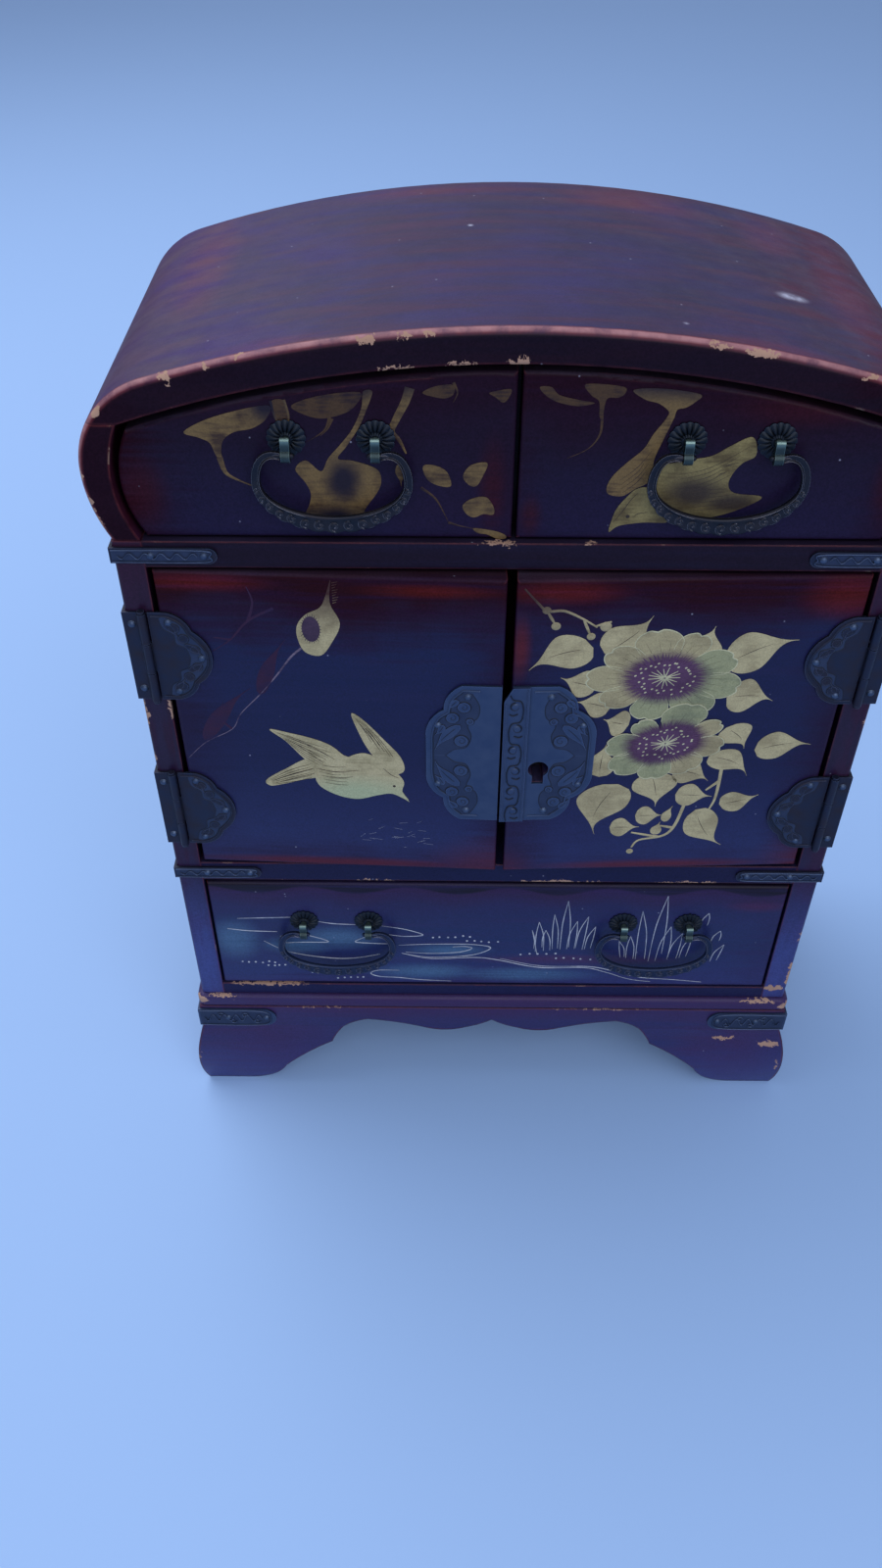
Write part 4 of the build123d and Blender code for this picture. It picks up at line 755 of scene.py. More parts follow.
leaves, veins, stems, twigs = (bmesh.new() for _ in range(4))
widths = peonyLook["widths"]
for foot, tip, width, bend in peonyLook["leaves"]:
    outline, vein = leafOutline(foot, tip, width, bend)
    addShape(leaves, outline, rightDoor, 0, filmRise["coat"])
    if width > 6:
        addStroke(veins, vein, widths["vein"], rightDoor, 0.06, 0.13)
for line in peonyLook["stems"]:
    addStroke(stems, smoothLine(line), widths["stem"], rightDoor, 0, filmRise["line"])
for line in peonyLook["twigs"]:
    addStroke(twigs, smoothLine(line), widths["twig"], rightDoor, 0, filmRise["line"])
for x, z, radius in peonyLook["buds"]:
    addDot(twigs, x, z, radius, rightDoor, 0, filmRise["bead"])
goldPetals, greenPetals, rims, hearts, stamens, gaps = (bmesh.new() for _ in range(6))
for i, flower in enumerate(peonyLook["flowers"]):
    layer = filmRise["line"] + 0.14 * i
    for film, petals in ((goldPetals, flower["gold"]), (greenPetals, flower["green"])):
        for angle, width, reach in petals:
            outline = petalOutline(flower, angle, width, reach)
            addShape(film, outline, rightDoor, 0, layer)
            addStroke(rims, outline[:-1], widths["rim"], rightDoor, layer - 0.04, layer + 0.05)
            for k in (-0.22, 0, 0.24):  # folds that run to the heart
                turn = math.radians(angle + k * width)
                fold = [onFlower(flower, "reach", turn, share) for share in (0.55, 0.66, 0.78 * reach)]
                addStroke(gaps, fold, widths["fold"], rightDoor, layer - 0.04, layer + 0.02)
            layer += 0.008
    ring = [onFlower(flower, "heart", turn, 0.7) for turn in around(48)]
    addShape(hearts, ring, rightDoor, 0, layer + 0.01)
    for k in range(90):  # soft fringe of the heart
        turn = k * math.tau / 90 + random.uniform(-0.03, 0.03)
        hair = [onFlower(flower, "heart", turn, share) for share in (0.6, 0.85, random.uniform(0.96, 1.1))]
        addStroke(hearts, hair, widths["fringe"], rightDoor, layer - 0.03, layer + 0.02)
    for k in range(15):
        turn = k * math.tau / 15 + random.uniform(-0.12, 0.12)
        ray = [onFlower(flower, "heart", turn, share) for share in (0.03, 0.2, random.uniform(0.34, 0.46))]
        addStroke(stamens, ray, widths["ray"], rightDoor, layer, layer + 0.07)
    for k in range(34):
        turn = k * math.tau / 34 + random.uniform(-0.08, 0.08)
        x, z = onFlower(flower, "heart", turn, random.choice((0.54, 0.64, 0.74)))
        tick = [(x - 0.3, z - 0.2), (x, z), (x + 0.3, z + 0.2)]
        addStroke(stamens, tick, widths["tick"], rightDoor, layer, layer + 0.07)
for film, name, paint in ((leaves, "peonyLeaves", "powderedGoldPaint"),
                          (veins, "peonyLeafVeins", "brownLinePaint"),
                          (stems, "peonyStems", "powderedGoldPaint"), (twigs, "peonyTwigs", "twigGoldPaint"),
                          (goldPetals, "peonyGoldPetals", "goldPetalPaint"),
                          (greenPetals, "peonyGreenPetals", "greenPetalPaint"),
                          (rims, "peonyPetalRims", "paleRimPaint"),
                          (gaps, "peonyPetalFolds", "brownLinePaint"),
                          (hearts, "peonyHearts", "purpleHeartPaint"),
                          (stamens, "peonyStamens", "paleRimPaint")):
    makePiece(film, name, paints[paint], "right_door")
print("right door is painted")

# Left door: a bird in flight under a hanging bud on a bare twig
birdLook = {
    "widths": {"feather": (0.08, 0.24, 0.1), "hair": (0.4, 0.3, 0.06), "twig": (0.7, 0.3, 0.15),
               "bristle": (0.3, 0.25, 0.15), "ghost": (0.9, 0.6, 0.2), "scratch": (0.05, 0.16, 0.05)},
    "body": [(71.6, 147.6), (69.8, 151.2), (70.4, 155), (68.6, 158.4), (64, 163.2), (59.4, 166.2),
             (55, 165.2), (50.4, 161.6), (45.6, 158.6), (43.6, 156.2), (45, 152.2), (50.2, 148.8),
             (56.2, 147.6), (62.2, 149.4), (66.8, 150.2)],
    "farWing": [(55.6, 181.4), (59.4, 178.6), (64.6, 172), (69.4, 165.4), (70.6, 160), (67.6, 158.2),
                (64.6, 160.4), (60.2, 167.4), (57.4, 174.4)],
    "nearWing": [(31.2, 174.4), (36.4, 173.4), (43.6, 171.4), (49, 168.8), (52.6, 165.2), (56, 163.4),
                 (52, 158.2), (45.2, 158.4), (40.2, 164), (35.6, 170.2)],
    "tail": [(28.6, 154.4), (35, 159.2), (41.6, 163.2), (47.6, 160.8), (47, 157), (40.4, 155), (33.6, 152.8),
             (29.4, 152)],
    "quills": [  # first line, last line, how many between them
        (((32.4, 173.8), (40, 170.6), (48.6, 167.4)), ((36.6, 169.4), (40.6, 164.6), (46, 160.2)), 8),
        (((29.8, 154.6), (36, 158.6), (43.8, 162)), ((30.4, 152.6), (37, 154), (44.6, 156.4)), 6),
        (((56.4, 180.2), (59, 175.4), (61.6, 169.6)), ((59.2, 178), (64, 171.2), (67.8, 164.4)), 5),
        (((44.6, 159.8), (48.6, 158.6), (53, 158.2)), ((46.4, 154), (50, 153.4), (54, 153.2)), 5)],
    "feathers": [[(33.6, 173.2), (41, 169.4), (48, 164.8)], [(35, 171.4), (41.4, 167.4), (47.2, 163.2)],
                 [(38, 169.6), (43, 165.2), (46.4, 161.8)], [(31, 154.4), (37, 157.2), (43.2, 159.6)],
                 [(31.4, 153.2), (37.6, 155.6), (43.4, 157.6)], [(44, 159.6), (50, 158.6), (57, 159.4)],
                 [(57.4, 178.4), (61, 172.4), (63.6, 167.4)], [(59.6, 176), (62.6, 171.2), (64.8, 167.2)],
                 [(46, 161), (49.6, 160.4), (53, 160.6)], [(64.2, 160.6), (66.6, 158), (68.8, 156.8)],
                 [(36, 172.6), (43, 168.6), (50, 163.4)], [(48, 156.6), (52, 156.2), (55, 156.8)]],
    "eye": (67.4, 153.4), "beak": [(69.6, 151.6), (71.9, 147), (68.4, 150)],
    "bud": [(52.2, 227), (51.6, 219.6), (54, 213), (51.6, 206.8), (48.2, 202), (43.8, 203), (42, 207.6),
            (42.2, 212), (44.8, 215.6), (48.8, 218), (50.6, 222)],
    "budHeart": (45.9, 210.8, 2.5, 4.2),
    "twig": [(42.8, 204.2), (39.6, 201), (35.2, 194.6), (29.9, 187.6), (23.4, 180), (20.2, 174),
             (11.8, 168.6), (5.8, 162.2)],
    "ghosts": [((29.6, 187.2), (38.6, 207), 4.2, 0.12), ((11.4, 169.4), (27.2, 189.6), 4.8, 0.14)],
    "ghostLines": [[(36.1, 217.2), (28.8, 212.9), (23.3, 206.4), (17.9, 202.3)],
                   [(23.3, 206.4), (18.6, 207)], [(28.8, 212.9), (30.6, 219), (29.4, 224)],
                   [(20.2, 174), (17, 178.4), (18.6, 184)]],
}
bird, bud, feathers, twig, ghosts, budHeart, scuffs = (bmesh.new() for _ in range(7))
widths = birdLook["widths"]
for layer, part in enumerate(("tail", "farWing", "body", "nearWing")):
    addShape(bird, smoothLine(birdLook[part], True), leftDoor, 0, filmRise["coat"] + 0.012 * layer)
addShape(bird, birdLook["beak"], leftDoor, 0, 0.155)
addQuills(feathers, birdLook["quills"], 1.05, 0.2, leftDoor, 0.1, 0.18)
for line in birdLook["feathers"]:
    addStroke(feathers, smoothLine(line), widths["feather"], leftDoor, 0.1, 0.19)
addDot(feathers, *birdLook["eye"], 0.5, leftDoor, 0.1, 0.22)
addShape(bud, smoothLine(birdLook["bud"], True), leftDoor, 0, filmRise["coat"])
budX, budZ, budWide, budTall = birdLook["budHeart"]
addShape(budHeart, ellipse(*birdLook["budHeart"]), leftDoor, 0, 0.14)
for a in around(28):
    reaches = (0.9, 1, random.uniform(1.1, 1.3))
    hair = [(budX + budWide * s * math.cos(a), budZ + budTall * s * math.sin(a)) for s in reaches]
    addStroke(budHeart, hair, widths["hair"], leftDoor, 0.08, 0.14)
addStroke(twig, smoothLine(birdLook["twig"]), widths["twig"], leftDoor, 0, filmRise["thin"])
for k in range(9):  # bristles beside the bud's stalk
    start = (52.4, 219.5 + k * 0.8)
    bristle = [start, (start[0] + 1.0 + 0.3 * (k % 3), start[1] + 0.4)]
    addStroke(bud, bristle, widths["bristle"], leftDoor, 0, 0.09)
for foot, tip, width, bend in birdLook["ghosts"]:
    addShape(ghosts, leafOutline(foot, tip, width, bend)[0], leftDoor, 0, filmRise["wash"])
for line in birdLook["ghostLines"]:
    addStroke(ghosts, smoothLine(line), widths["ghost"], leftDoor, 0, filmRise["wash"])
for k in range(22):  # fine scratches low on the door
    x, z, turn = random.uniform(56, 78), random.uniform(127, 140), random.uniform(-0.5, 0.9)
    reach = random.uniform(0.8, 3.2)
    ends = [(x, z), (x + reach * math.cos(turn), z + reach * math.sin(turn))]
    addStroke(scuffs, ends, widths["scratch"], leftDoor, 0, filmRise["scratch"])
for film, name, paint in ((bird, "flyingBird", "birdGoldPaint"), (bud, "hangingBud", "budGoldPaint"),
                          (feathers, "flyingBirdFeathers", "darkLinePaint"),
                          (twig, "budTwig", "rubbedTwigPaint"),
                          (ghosts, "rubbedTwigLeaves", "ghostLeafPaint"),
                          (budHeart, "budHeart", "budEyePaint"),
                          (scuffs, "leftDoorScratches", "silverLinePaint")):
    makePiece(film, name, paints[paint], "left_door")
print("left door is painted")

# Upper drawers: hanging flowers half rubbed away, and a bird behind the right pull
hangingLook = {
    "widths": {"thread": (0.8, 0.35, 0.12), "line": (0.1, 0.3, 0.14)},
    "faded": [
        [(-82, 267), (-74, 271), (-61, 274), (-61.4, 270.6), (-65, 268), (-69.5, 267), (-72.4, 265),
         (-73.4, 262), (-73.4, 258), (-75, 261), (-76, 264), (-78.5, 265.4)],
        [(-55.4, 257), (-52.6, 259.4), (-49, 256.4), (-47, 260), (-43.6, 264), (-40.6, 268), (-38.2, 273.4),
         (-37.6, 277.6), (-35.4, 277.6), (-36.8, 273.4), (-39, 268.4), (-42.2, 263.4), (-44.6, 260),
         (-41, 259.4), (-36.6, 258), (-34.4, 256.4), (-34, 253.4), (-35.2, 250.4), (-38, 246.4), (-40, 243),
         (-46, 241.6), (-54, 242), (-52.4, 247.4), (-52, 250.4), (-53.2, 253.4)],
        [(-23.4, 258), (-20.4, 258.2), (-17.4, 256.4), (-16.4, 252.6), (-19.4, 252.6), (-22.4, 254.4)],
        [(-13.4, 255.4), (-11.4, 258.4), (-7.4, 259), (-8.4, 255.4), (-10, 252.6), (-12, 253)],
        [(-13.4, 247), (-11, 249), (-7.4, 249.4), (-5.4, 246.4), (-5.6, 244.4), (-8, 244.6), (-10.4, 243.6),
         (-12.4, 244.6)],
        [(-10.4, 240.4), (-5, 239.6), (-2.2, 238.4), (-2.2, 237.4), (-4.4, 237.4), (-7, 238.6), (-9.4, 239)],
        [(27, 278.4), (34, 278.8), (43, 277.4), (42, 275.4), (40, 274), (38, 273.4), (37.4, 271),
         (36, 271.4), (36, 273), (33.4, 275), (30, 276)],
        [(36.4, 272.6), (35.2, 270.4), (33, 267), (31, 263), (27.4, 259.4), (24.4, 256), (23, 253),
         (23.4, 250.6), (27, 250), (30, 252), (33.4, 254.4), (34, 260.4), (35.4, 265), (37.2, 270.4),
         (37.6, 272.6)]],
    "ribbons": [  # line, widths
        ([(-74, 260), (-73, 256), (-70.4, 254), (-66, 252)], (1.6, 0.8, 0.2)),
        ([(-60, 275.2), (-59.4, 271.4), (-58, 268)], (0.8, 0.6, 0.4)),
        ([(-56.8, 275.4), (-56, 271.4), (-56.4, 268)], (0.7, 0.6, 0.4)),
        ([(-26.4, 278.6), (-27.6, 275), (-29.8, 270.6), (-31, 267.4), (-29.2, 265), (-27.6, 261.4)],
         (2.4, 1.7, 0.4))],
    "rubbed": [
        [(-59.8, 275), (-56.8, 275.2), (-56.2, 271.4), (-56.6, 268.2), (-58.2, 268.2), (-59.2, 271.4)],
        [(-55, 274), (-48.4, 276.4), (-38.4, 277.4), (-40, 273.6), (-43.4, 271.6), (-48.4, 270.6),
         (-53, 272)],
        [(-23.4, 277.4), (-20.4, 279), (-16, 279.4), (-16, 277), (-18, 276), (-21, 276.4)],
        [(-7.4, 277.4), (-5.4, 278), (-2.2, 278.4), (-2.6, 276.4), (-4, 275), (-6, 276.4)],
        [(4.6, 279), (7.4, 279), (9.4, 277), (14, 275.8), (18, 275), (14, 274.2), (9, 275.2), (6, 277)],
        [(15.6, 279.8), (24.4, 279.2), (25, 277.4), (23.4, 276.4), (20.8, 276), (20.2, 271.4), (19.4, 271.6),
         (19, 275.4), (17, 277)]],
    "petals": [((-29, 258.8), (-29, 252.4), 2.6, 0)],
    "threads": [[(20, 272), (20, 267), (17.4, 263), (12.4, 260.4)],
                [(-46, 271), (-47.6, 267.4), (-52, 264.4)], [(-45.4, 270.6), (-46.6, 268), (-48.6, 266)],
                [(-24, 252), (-20.4, 249), (-18, 244.4), (-17, 242)], [(-16, 280), (-15, 277.4), (-16, 275)],
                [(-17, 242), (-14, 241), (-10.4, 240.2)]],
    "birdHead": [(28, 249.4), (26, 246.4), (25, 243), (24.6, 239.6), (27, 241.4), (33, 242.4), (39.4, 242.6),
                 (38, 246), (36, 250), (33.4, 252.4), (30.4, 252)],
    "birdWing": [(33.4, 256), (36, 258.6), (39.4, 259.4), (44, 260.4), (48.4, 261.4), (52.4, 264),
                 (57.4, 266.4), (59, 261.6), (56, 259.4), (54, 256.4), (53.4, 253.4), (55.4, 251),
                 (62.4, 250), (58.4, 247), (52.4, 244.6), (46.4, 243.6), (41, 244), (36.6, 247),
                 (34, 251.4)],
    "quills": [  # first line, last line, how many between them
        (((40, 256), (48, 258), (57.4, 264)), ((42, 251), (48, 253), (54, 256.4)), 5),
        (((44, 251), (49, 252), (54, 252.4)), ((45, 246), (51, 246.6), (59, 248.4)), 6),
        (((26, 254.4), (30, 258), (33.4, 263)), ((27, 251), (30.4, 254), (33, 258)), 4)],
    "wingLines": [[(51, 258), (53, 259), (55, 259.4)], [(50, 255.4), (51, 256.4), (52.4, 257)],
                  [(25.4, 242.4), (27.4, 245.4), (29.4, 249), (31, 251)],
                  [(30.4, 244), (31.6, 245), (34, 245.4)]],
    "birdEye": (29, 244.2),
}
for word, side in (("left", -1), ("right", 1)):
    faded, rubbed = bmesh.new(), bmesh.new()
    for layer, outline in enumerate(hangingLook["faded"]):
        if outline[0][0] * side > 0:
            addShape(faded, smoothLine(outline, True), upperFace, 0, filmRise["coat"] + 0.004 * layer)
    for line, widths in hangingLook["ribbons"]:
        if line[0][0] * side > 0:
            addStroke(faded, smoothLine(line), widths, upperFace, 0, 0.135)
    for foot, tip, width, bend in hangingLook["petals"]:
        if foot[0] * side > 0:
            addShape(faded, leafOutline(foot, tip, width, bend)[0], upperFace, 0, 0.09)
    for outline in hangingLook["rubbed"]:
        if outline[0][0] * side > 0:
            addShape(rubbed, smoothLine(outline, True), upperFace, 0, filmRise["thin"])
    for line in hangingLook["threads"]:
        if line[0][0] * side > 0:
            addStroke(rubbed, smoothLine(line), hangingLook["widths"]["thread"], upperFace, 0, 0.07)
    makePiece(faded, f"{word}HangingFlowers", paints["fadedGoldPaint"], f"upper_{word}_drawer")
    makePiece(rubbed, f"{word}RubbedFlowers", paints["rubbedGoldPaint"], f"upper_{word}_drawer")
bird, lines = bmesh.new(), bmesh.new()
addShape(bird, smoothLine(hangingLook["birdWing"], True), upperFace, 0, 0.14)
addShape(bird, smoothLine(hangingLook["birdHead"], True), upperFace, 0, 0.15)
addQuills(lines, hangingLook["quills"], 1, 0.24, upperFace, 0.08, 0.17)
for line in hangingLook["wingLines"]:
    addStroke(lines, smoothLine(line), hangingLook["widths"]["line"], upperFace, 0.08, 0.18)
addDot(lines, *hangingLook["birdEye"], 0.6, upperFace, 0.1, 0.2)
makePiece(bird, "drawerBird", paints["fadedBirdPaint"], "upper_right_drawer")
makePiece(lines, "drawerBirdFeathers", paints["darkLinePaint"], "upper_right_drawer")

# Lower drawer: lines of water, sand dots and reeds in silver
waterLook = {
    "lineWidths": (0.15, 0.45, 0.15), "reedWidths": (0.2, 0.36, 0.2), "dotRadius": 0.42, "dotScatter": 0.3,
    "lines": [
        [(-88, 88.7), (-77.6, 89.1), (-67.6, 89.6)], [(-92, 83.4), (-84.8, 82.3), (-75, 82)],
        [(-60.6, 87.4), (-55.2, 86.3), (-48, 86)], [(-43.4, 80.2), (-48.4, 77), (-42.6, 76.2), (-36, 76)],
        [(-74.2, 79.6), (-66.6, 80.6), (-57.6, 76.9), (-66.2, 76.5), (-74.4, 76)],
        [(-39, 85.4), (-30.8, 83.6), (-24.9, 80.8), (-30.8, 80), (-36.6, 80.8)],
        [(-33.4, 75.3), (-22, 76), (-8, 76), (-1.4, 74.2), (-7.9, 70.3), (-22, 68.9), (-32.4, 71)],
        [(-14.6, 74.6), (-10.2, 74.9), (-7.9, 73.8), (-12.4, 71.8), (-22, 71), (-31, 71.6)],
        [(-33.4, 61.6), (-40.9, 61.5), (-43.6, 59.7), (-40.3, 58), (-33.4, 57.5), (-25.8, 56.4),
         (-15, 55.8)],
        [(-32.4, 71), (-22, 68.2), (-7.1, 69), (1, 67.8), (15.8, 63.8), (31.5, 63.9), (39.6, 61.5),
         (48.1, 57.8), (56, 56.4)],
        [(2, 68.6), (16.4, 64.7), (33.1, 64.5), (41.6, 62.4), (51.4, 58.9), (64.2, 57.6), (74.2, 56.4)],
        [(-80, 77), (-72, 71.4), (-60, 68.4), (-50, 68), (-40, 70.4)]],
    "dots": [  # first dot, last dot, how many
        ((-88.8, 65.6), (-81.3, 65.5), 4), ((-79.6, 63.6), (-73.5, 64.4), 4),
        ((-79.4, 66), (-77.2, 65.5), 2), ((-64.4, 60.2), (-60, 59.6), 3), ((-55.5, 57.2), (-46.3, 57.7), 5),
        ((-21.6, 79.6), (-8.6, 80.3), 6), ((-9.6, 78.1), (0.8, 77.3), 5), ((9.3, 71), (21.1, 71.5), 5),
        ((21.5, 69), (36.6, 68.4), 6)],
    "reeds": [  # foot left, tip, foot right
        ((14.8, 71.2), (12.6, 83.8), (13.6, 74)), ((14.2, 72.6), (14.8, 88), (17, 73)),
        ((16.4, 74.8), (17.3, 83.8), (19.2, 73.2)), ((20, 74), (19.8, 92), (21.8, 74.4)),
        ((22.7, 73.8), (24, 98.8), (25.6, 75)), ((25, 74), (27.8, 88.6), (27.6, 74.2)),
        ((28, 74.6), (31.4, 91), (30.4, 73.8)), ((31.2, 74), (34.2, 85.8), (33.2, 74.6)),
        ((44, 69.8), (42.9, 78.4), (45.4, 70)), ((46, 69.4), (46.6, 81), (48.6, 69)),
        ((49.4, 68.8), (49.4, 94), (52.6, 69)), ((54, 67.8), (57, 101.6), (58.2, 72)),
        ((56.4, 68), (59.9, 86.2), (60.6, 70)), ((60.4, 68.8), (64.2, 82.8), (63.6, 69.4)),
        ((64.6, 69.8), (67.6, 81), (66.8, 70.6)), ((69.6, 86), (71.8, 93.2), (72, 87)),
        ((74.4, 77.8), (77, 84.2), (77.2, 79)), ((75.6, 68), (79.3, 77), (77.8, 68.6))],
}
silver = bmesh.new()
for line in waterLook["lines"]:
    addStroke(silver, smoothLine(line, steps=8), waterLook["lineWidths"], lowerFace, 0, filmRise["coat"])
for first, last, count in waterLook["dots"]:
    for k in range(count):
        off = [random.uniform(-waterLook["dotScatter"], waterLook["dotScatter"]) for _ in range(2)]
        spot = Vector(first).lerp(Vector(last), k / (count - 1)) + Vector(off)
        addDot(silver, *spot, waterLook["dotRadius"], lowerFace, 0, 0.14)
for left, tip, right in waterLook["reeds"]:
    for (x, z), swell in ((left, -0.35), (right, 0.35)):
        blade = [(x, z), (x + (tip[0] - x) * 0.35 + swell, z + (tip[1] - z) * 0.55), tip]
        addStroke(silver, smoothLine(blade), waterLook["reedWidths"], lowerFace, 0, filmRise["coat"])
makePiece(silver, "waterAndReeds", paints["silverLinePaint"], "lower_drawer")
print("drawers are painted")

# Stamped ornament on the sheet metal: raised rims, curls and running vines on a sooted ground
stampLook = {"rise": 0.42, "line": 0.75, "rim": 0.8, "sheet": 0.8, "ground": 0.04, "sink": 0.05,
             "ring": (0.4, 0.4, 0.4), "scroll": (0.2, 0.3, 0.2), "edge": (0.3, 0.36, 0.3),
             "vein": (0.15, 0.25, 0.1)}


def curl(x, z, radius, start, turns, hand=1):
    drawn = []
    for i in range(25):
        t = i / 24
        angle, reach = math.radians(start) + hand * t * turns * math.tau, radius * (1 - 0.8 * t)
        drawn.append((x + reach * math.cos(angle), z + reach * math.sin(angle)))
    return drawn


def bow(a, b, c, count=9):  # smooth bow through three points
    a, b, c = Vector(a), Vector(b), Vector(c)
    pull, shares = 2 * b - (a + c) / 2, [k / (count - 1) for k in range(count)]
    return [tuple(a * (1 - t) ** 2 + pull * 2 * t * (1 - t) + c * t * t) for t in shares]


def inset(line, gap):  # the same line, moved to its left
    line, moved = [Vector(point) for point in line], []
    for i, spot in enumerate(line):
        along = (line[min(i + 1, len(line) - 1)] - line[max(i - 1, 0)]).normalized()
        moved.append(tuple(spot + Vector((-along.y, along.x)) * gap))
    return moved


def stamp(bm, lines, place, foot, wide=stampLook["line"], rise=stampLook["rise"]):
    for line in lines:
        addStroke(bm, line, (wide * 0.7, wide, wide * 0.6), place, foot - stampLook["sink"], foot + rise)


plateLook = {"level": 167.2, "half": 26, "left": 21.9, "right": 25.2, "freeEdge": 99.1,
             "corner": ((0.53, 1), (0.72, 0.84), (0.765, 0.66)),
             "flank": ((0.765, 0.66), (0.925, 0.53), (1, 0.27)),
             "inner": ((0.40, 23.4), (0.30, 19), (0.32, 14.6), (0.45, 11.8), (0.40, 7.6), (0.46, 3.4),
                       (0.62, 2.4), (0.74, 0)),
             "lobes": ((0.50, 18.4, 2), (0.65, 14.4, 2), (0.53, 5.8, 2.2), (0.42, 13.2, 1.2)),
             "leaves": (((0.55, 11.8), (0.88, 2.2), 3.2, 0.16), ((0.58, 21), (0.70, 17.6), 2, 0.1),
                        ((0.76, 11.6), (0.88, 8), 2, -0.2))}
hingeLook = {"levels": (141.5, 200.2), "reach": 17.7, "half": 15,
             "lobe": ((0.37, 1), (0.61, 0.85), (0.73, 0.60)),
             "inner": ((4.4, 13.2), (5.2, 9.8), (7.8, 7.8), (8.2, 4.8), (10.6, 3.4), (11.6, 0)),
             "lobes": ((8.2, 10, 1.5), (10.4, 6.6, 1.5), (13.2, 3, 1.4)),
             "leaves": (((6, 11.2), (9, 7.4), 1.6, 0.1), ((10.6, 4.6), (15, 1), 1.8, 0.15))}
stripLook = {"near": -2.1, "far": 5.1, "half": 26, "cut": (2.4, 4.8), "top": 1.44, "crest": 1.79,
             "vine": ((1.7, -4), (2, -1.2), (1.2, 1.9), (-1, 2.5), (-1.9, 4.2)),
             "sprig": ((-2, -2.6), (-1, -3.2), (0.4, -2.6))}
sheet, sunk = stampLook["sheet"], stampLook["sheet"] - stampLook["sink"]


def emboss(work, lines, look, wide, end, place):  # raised lobes and leaves with dark lines round them
    for across, height, radius in look["lobes"]:
        x, z = across * wide, end * height
        addShape(work, ellipse(x, z, 0.9 * radius, 0.9 * radius), place, sunk, sheet + 0.22)
        ring = [(x + radius * math.cos(a), z + radius * math.sin(a)) for a in (k * 0.3 for k in range(21))]
        addStroke(lines, ring, stampLook["ring"], place, sunk, sheet + 0.16)
        scroll = curl(x, z, radius * 0.6, 80 * end, 1, end)
        addStroke(lines, scroll, stampLook["scroll"], place, sheet + 0.15, sheet + 0.28)
    for foot, tip, width, bend in look["leaves"]:
        ends = [(across * wide, end * height) for across, height in (foot, tip)]
        outline, vein = leafOutline(*ends, width, bend * end)
        addShape(work, outline, place, sunk, sheet + 0.24)
        addStroke(lines, outline, stampLook["edge"], place, sunk, sheet + 0.2)
        addStroke(lines, vein, stampLook["vein"], place, sheet + 0.2, sheet + 0.34)


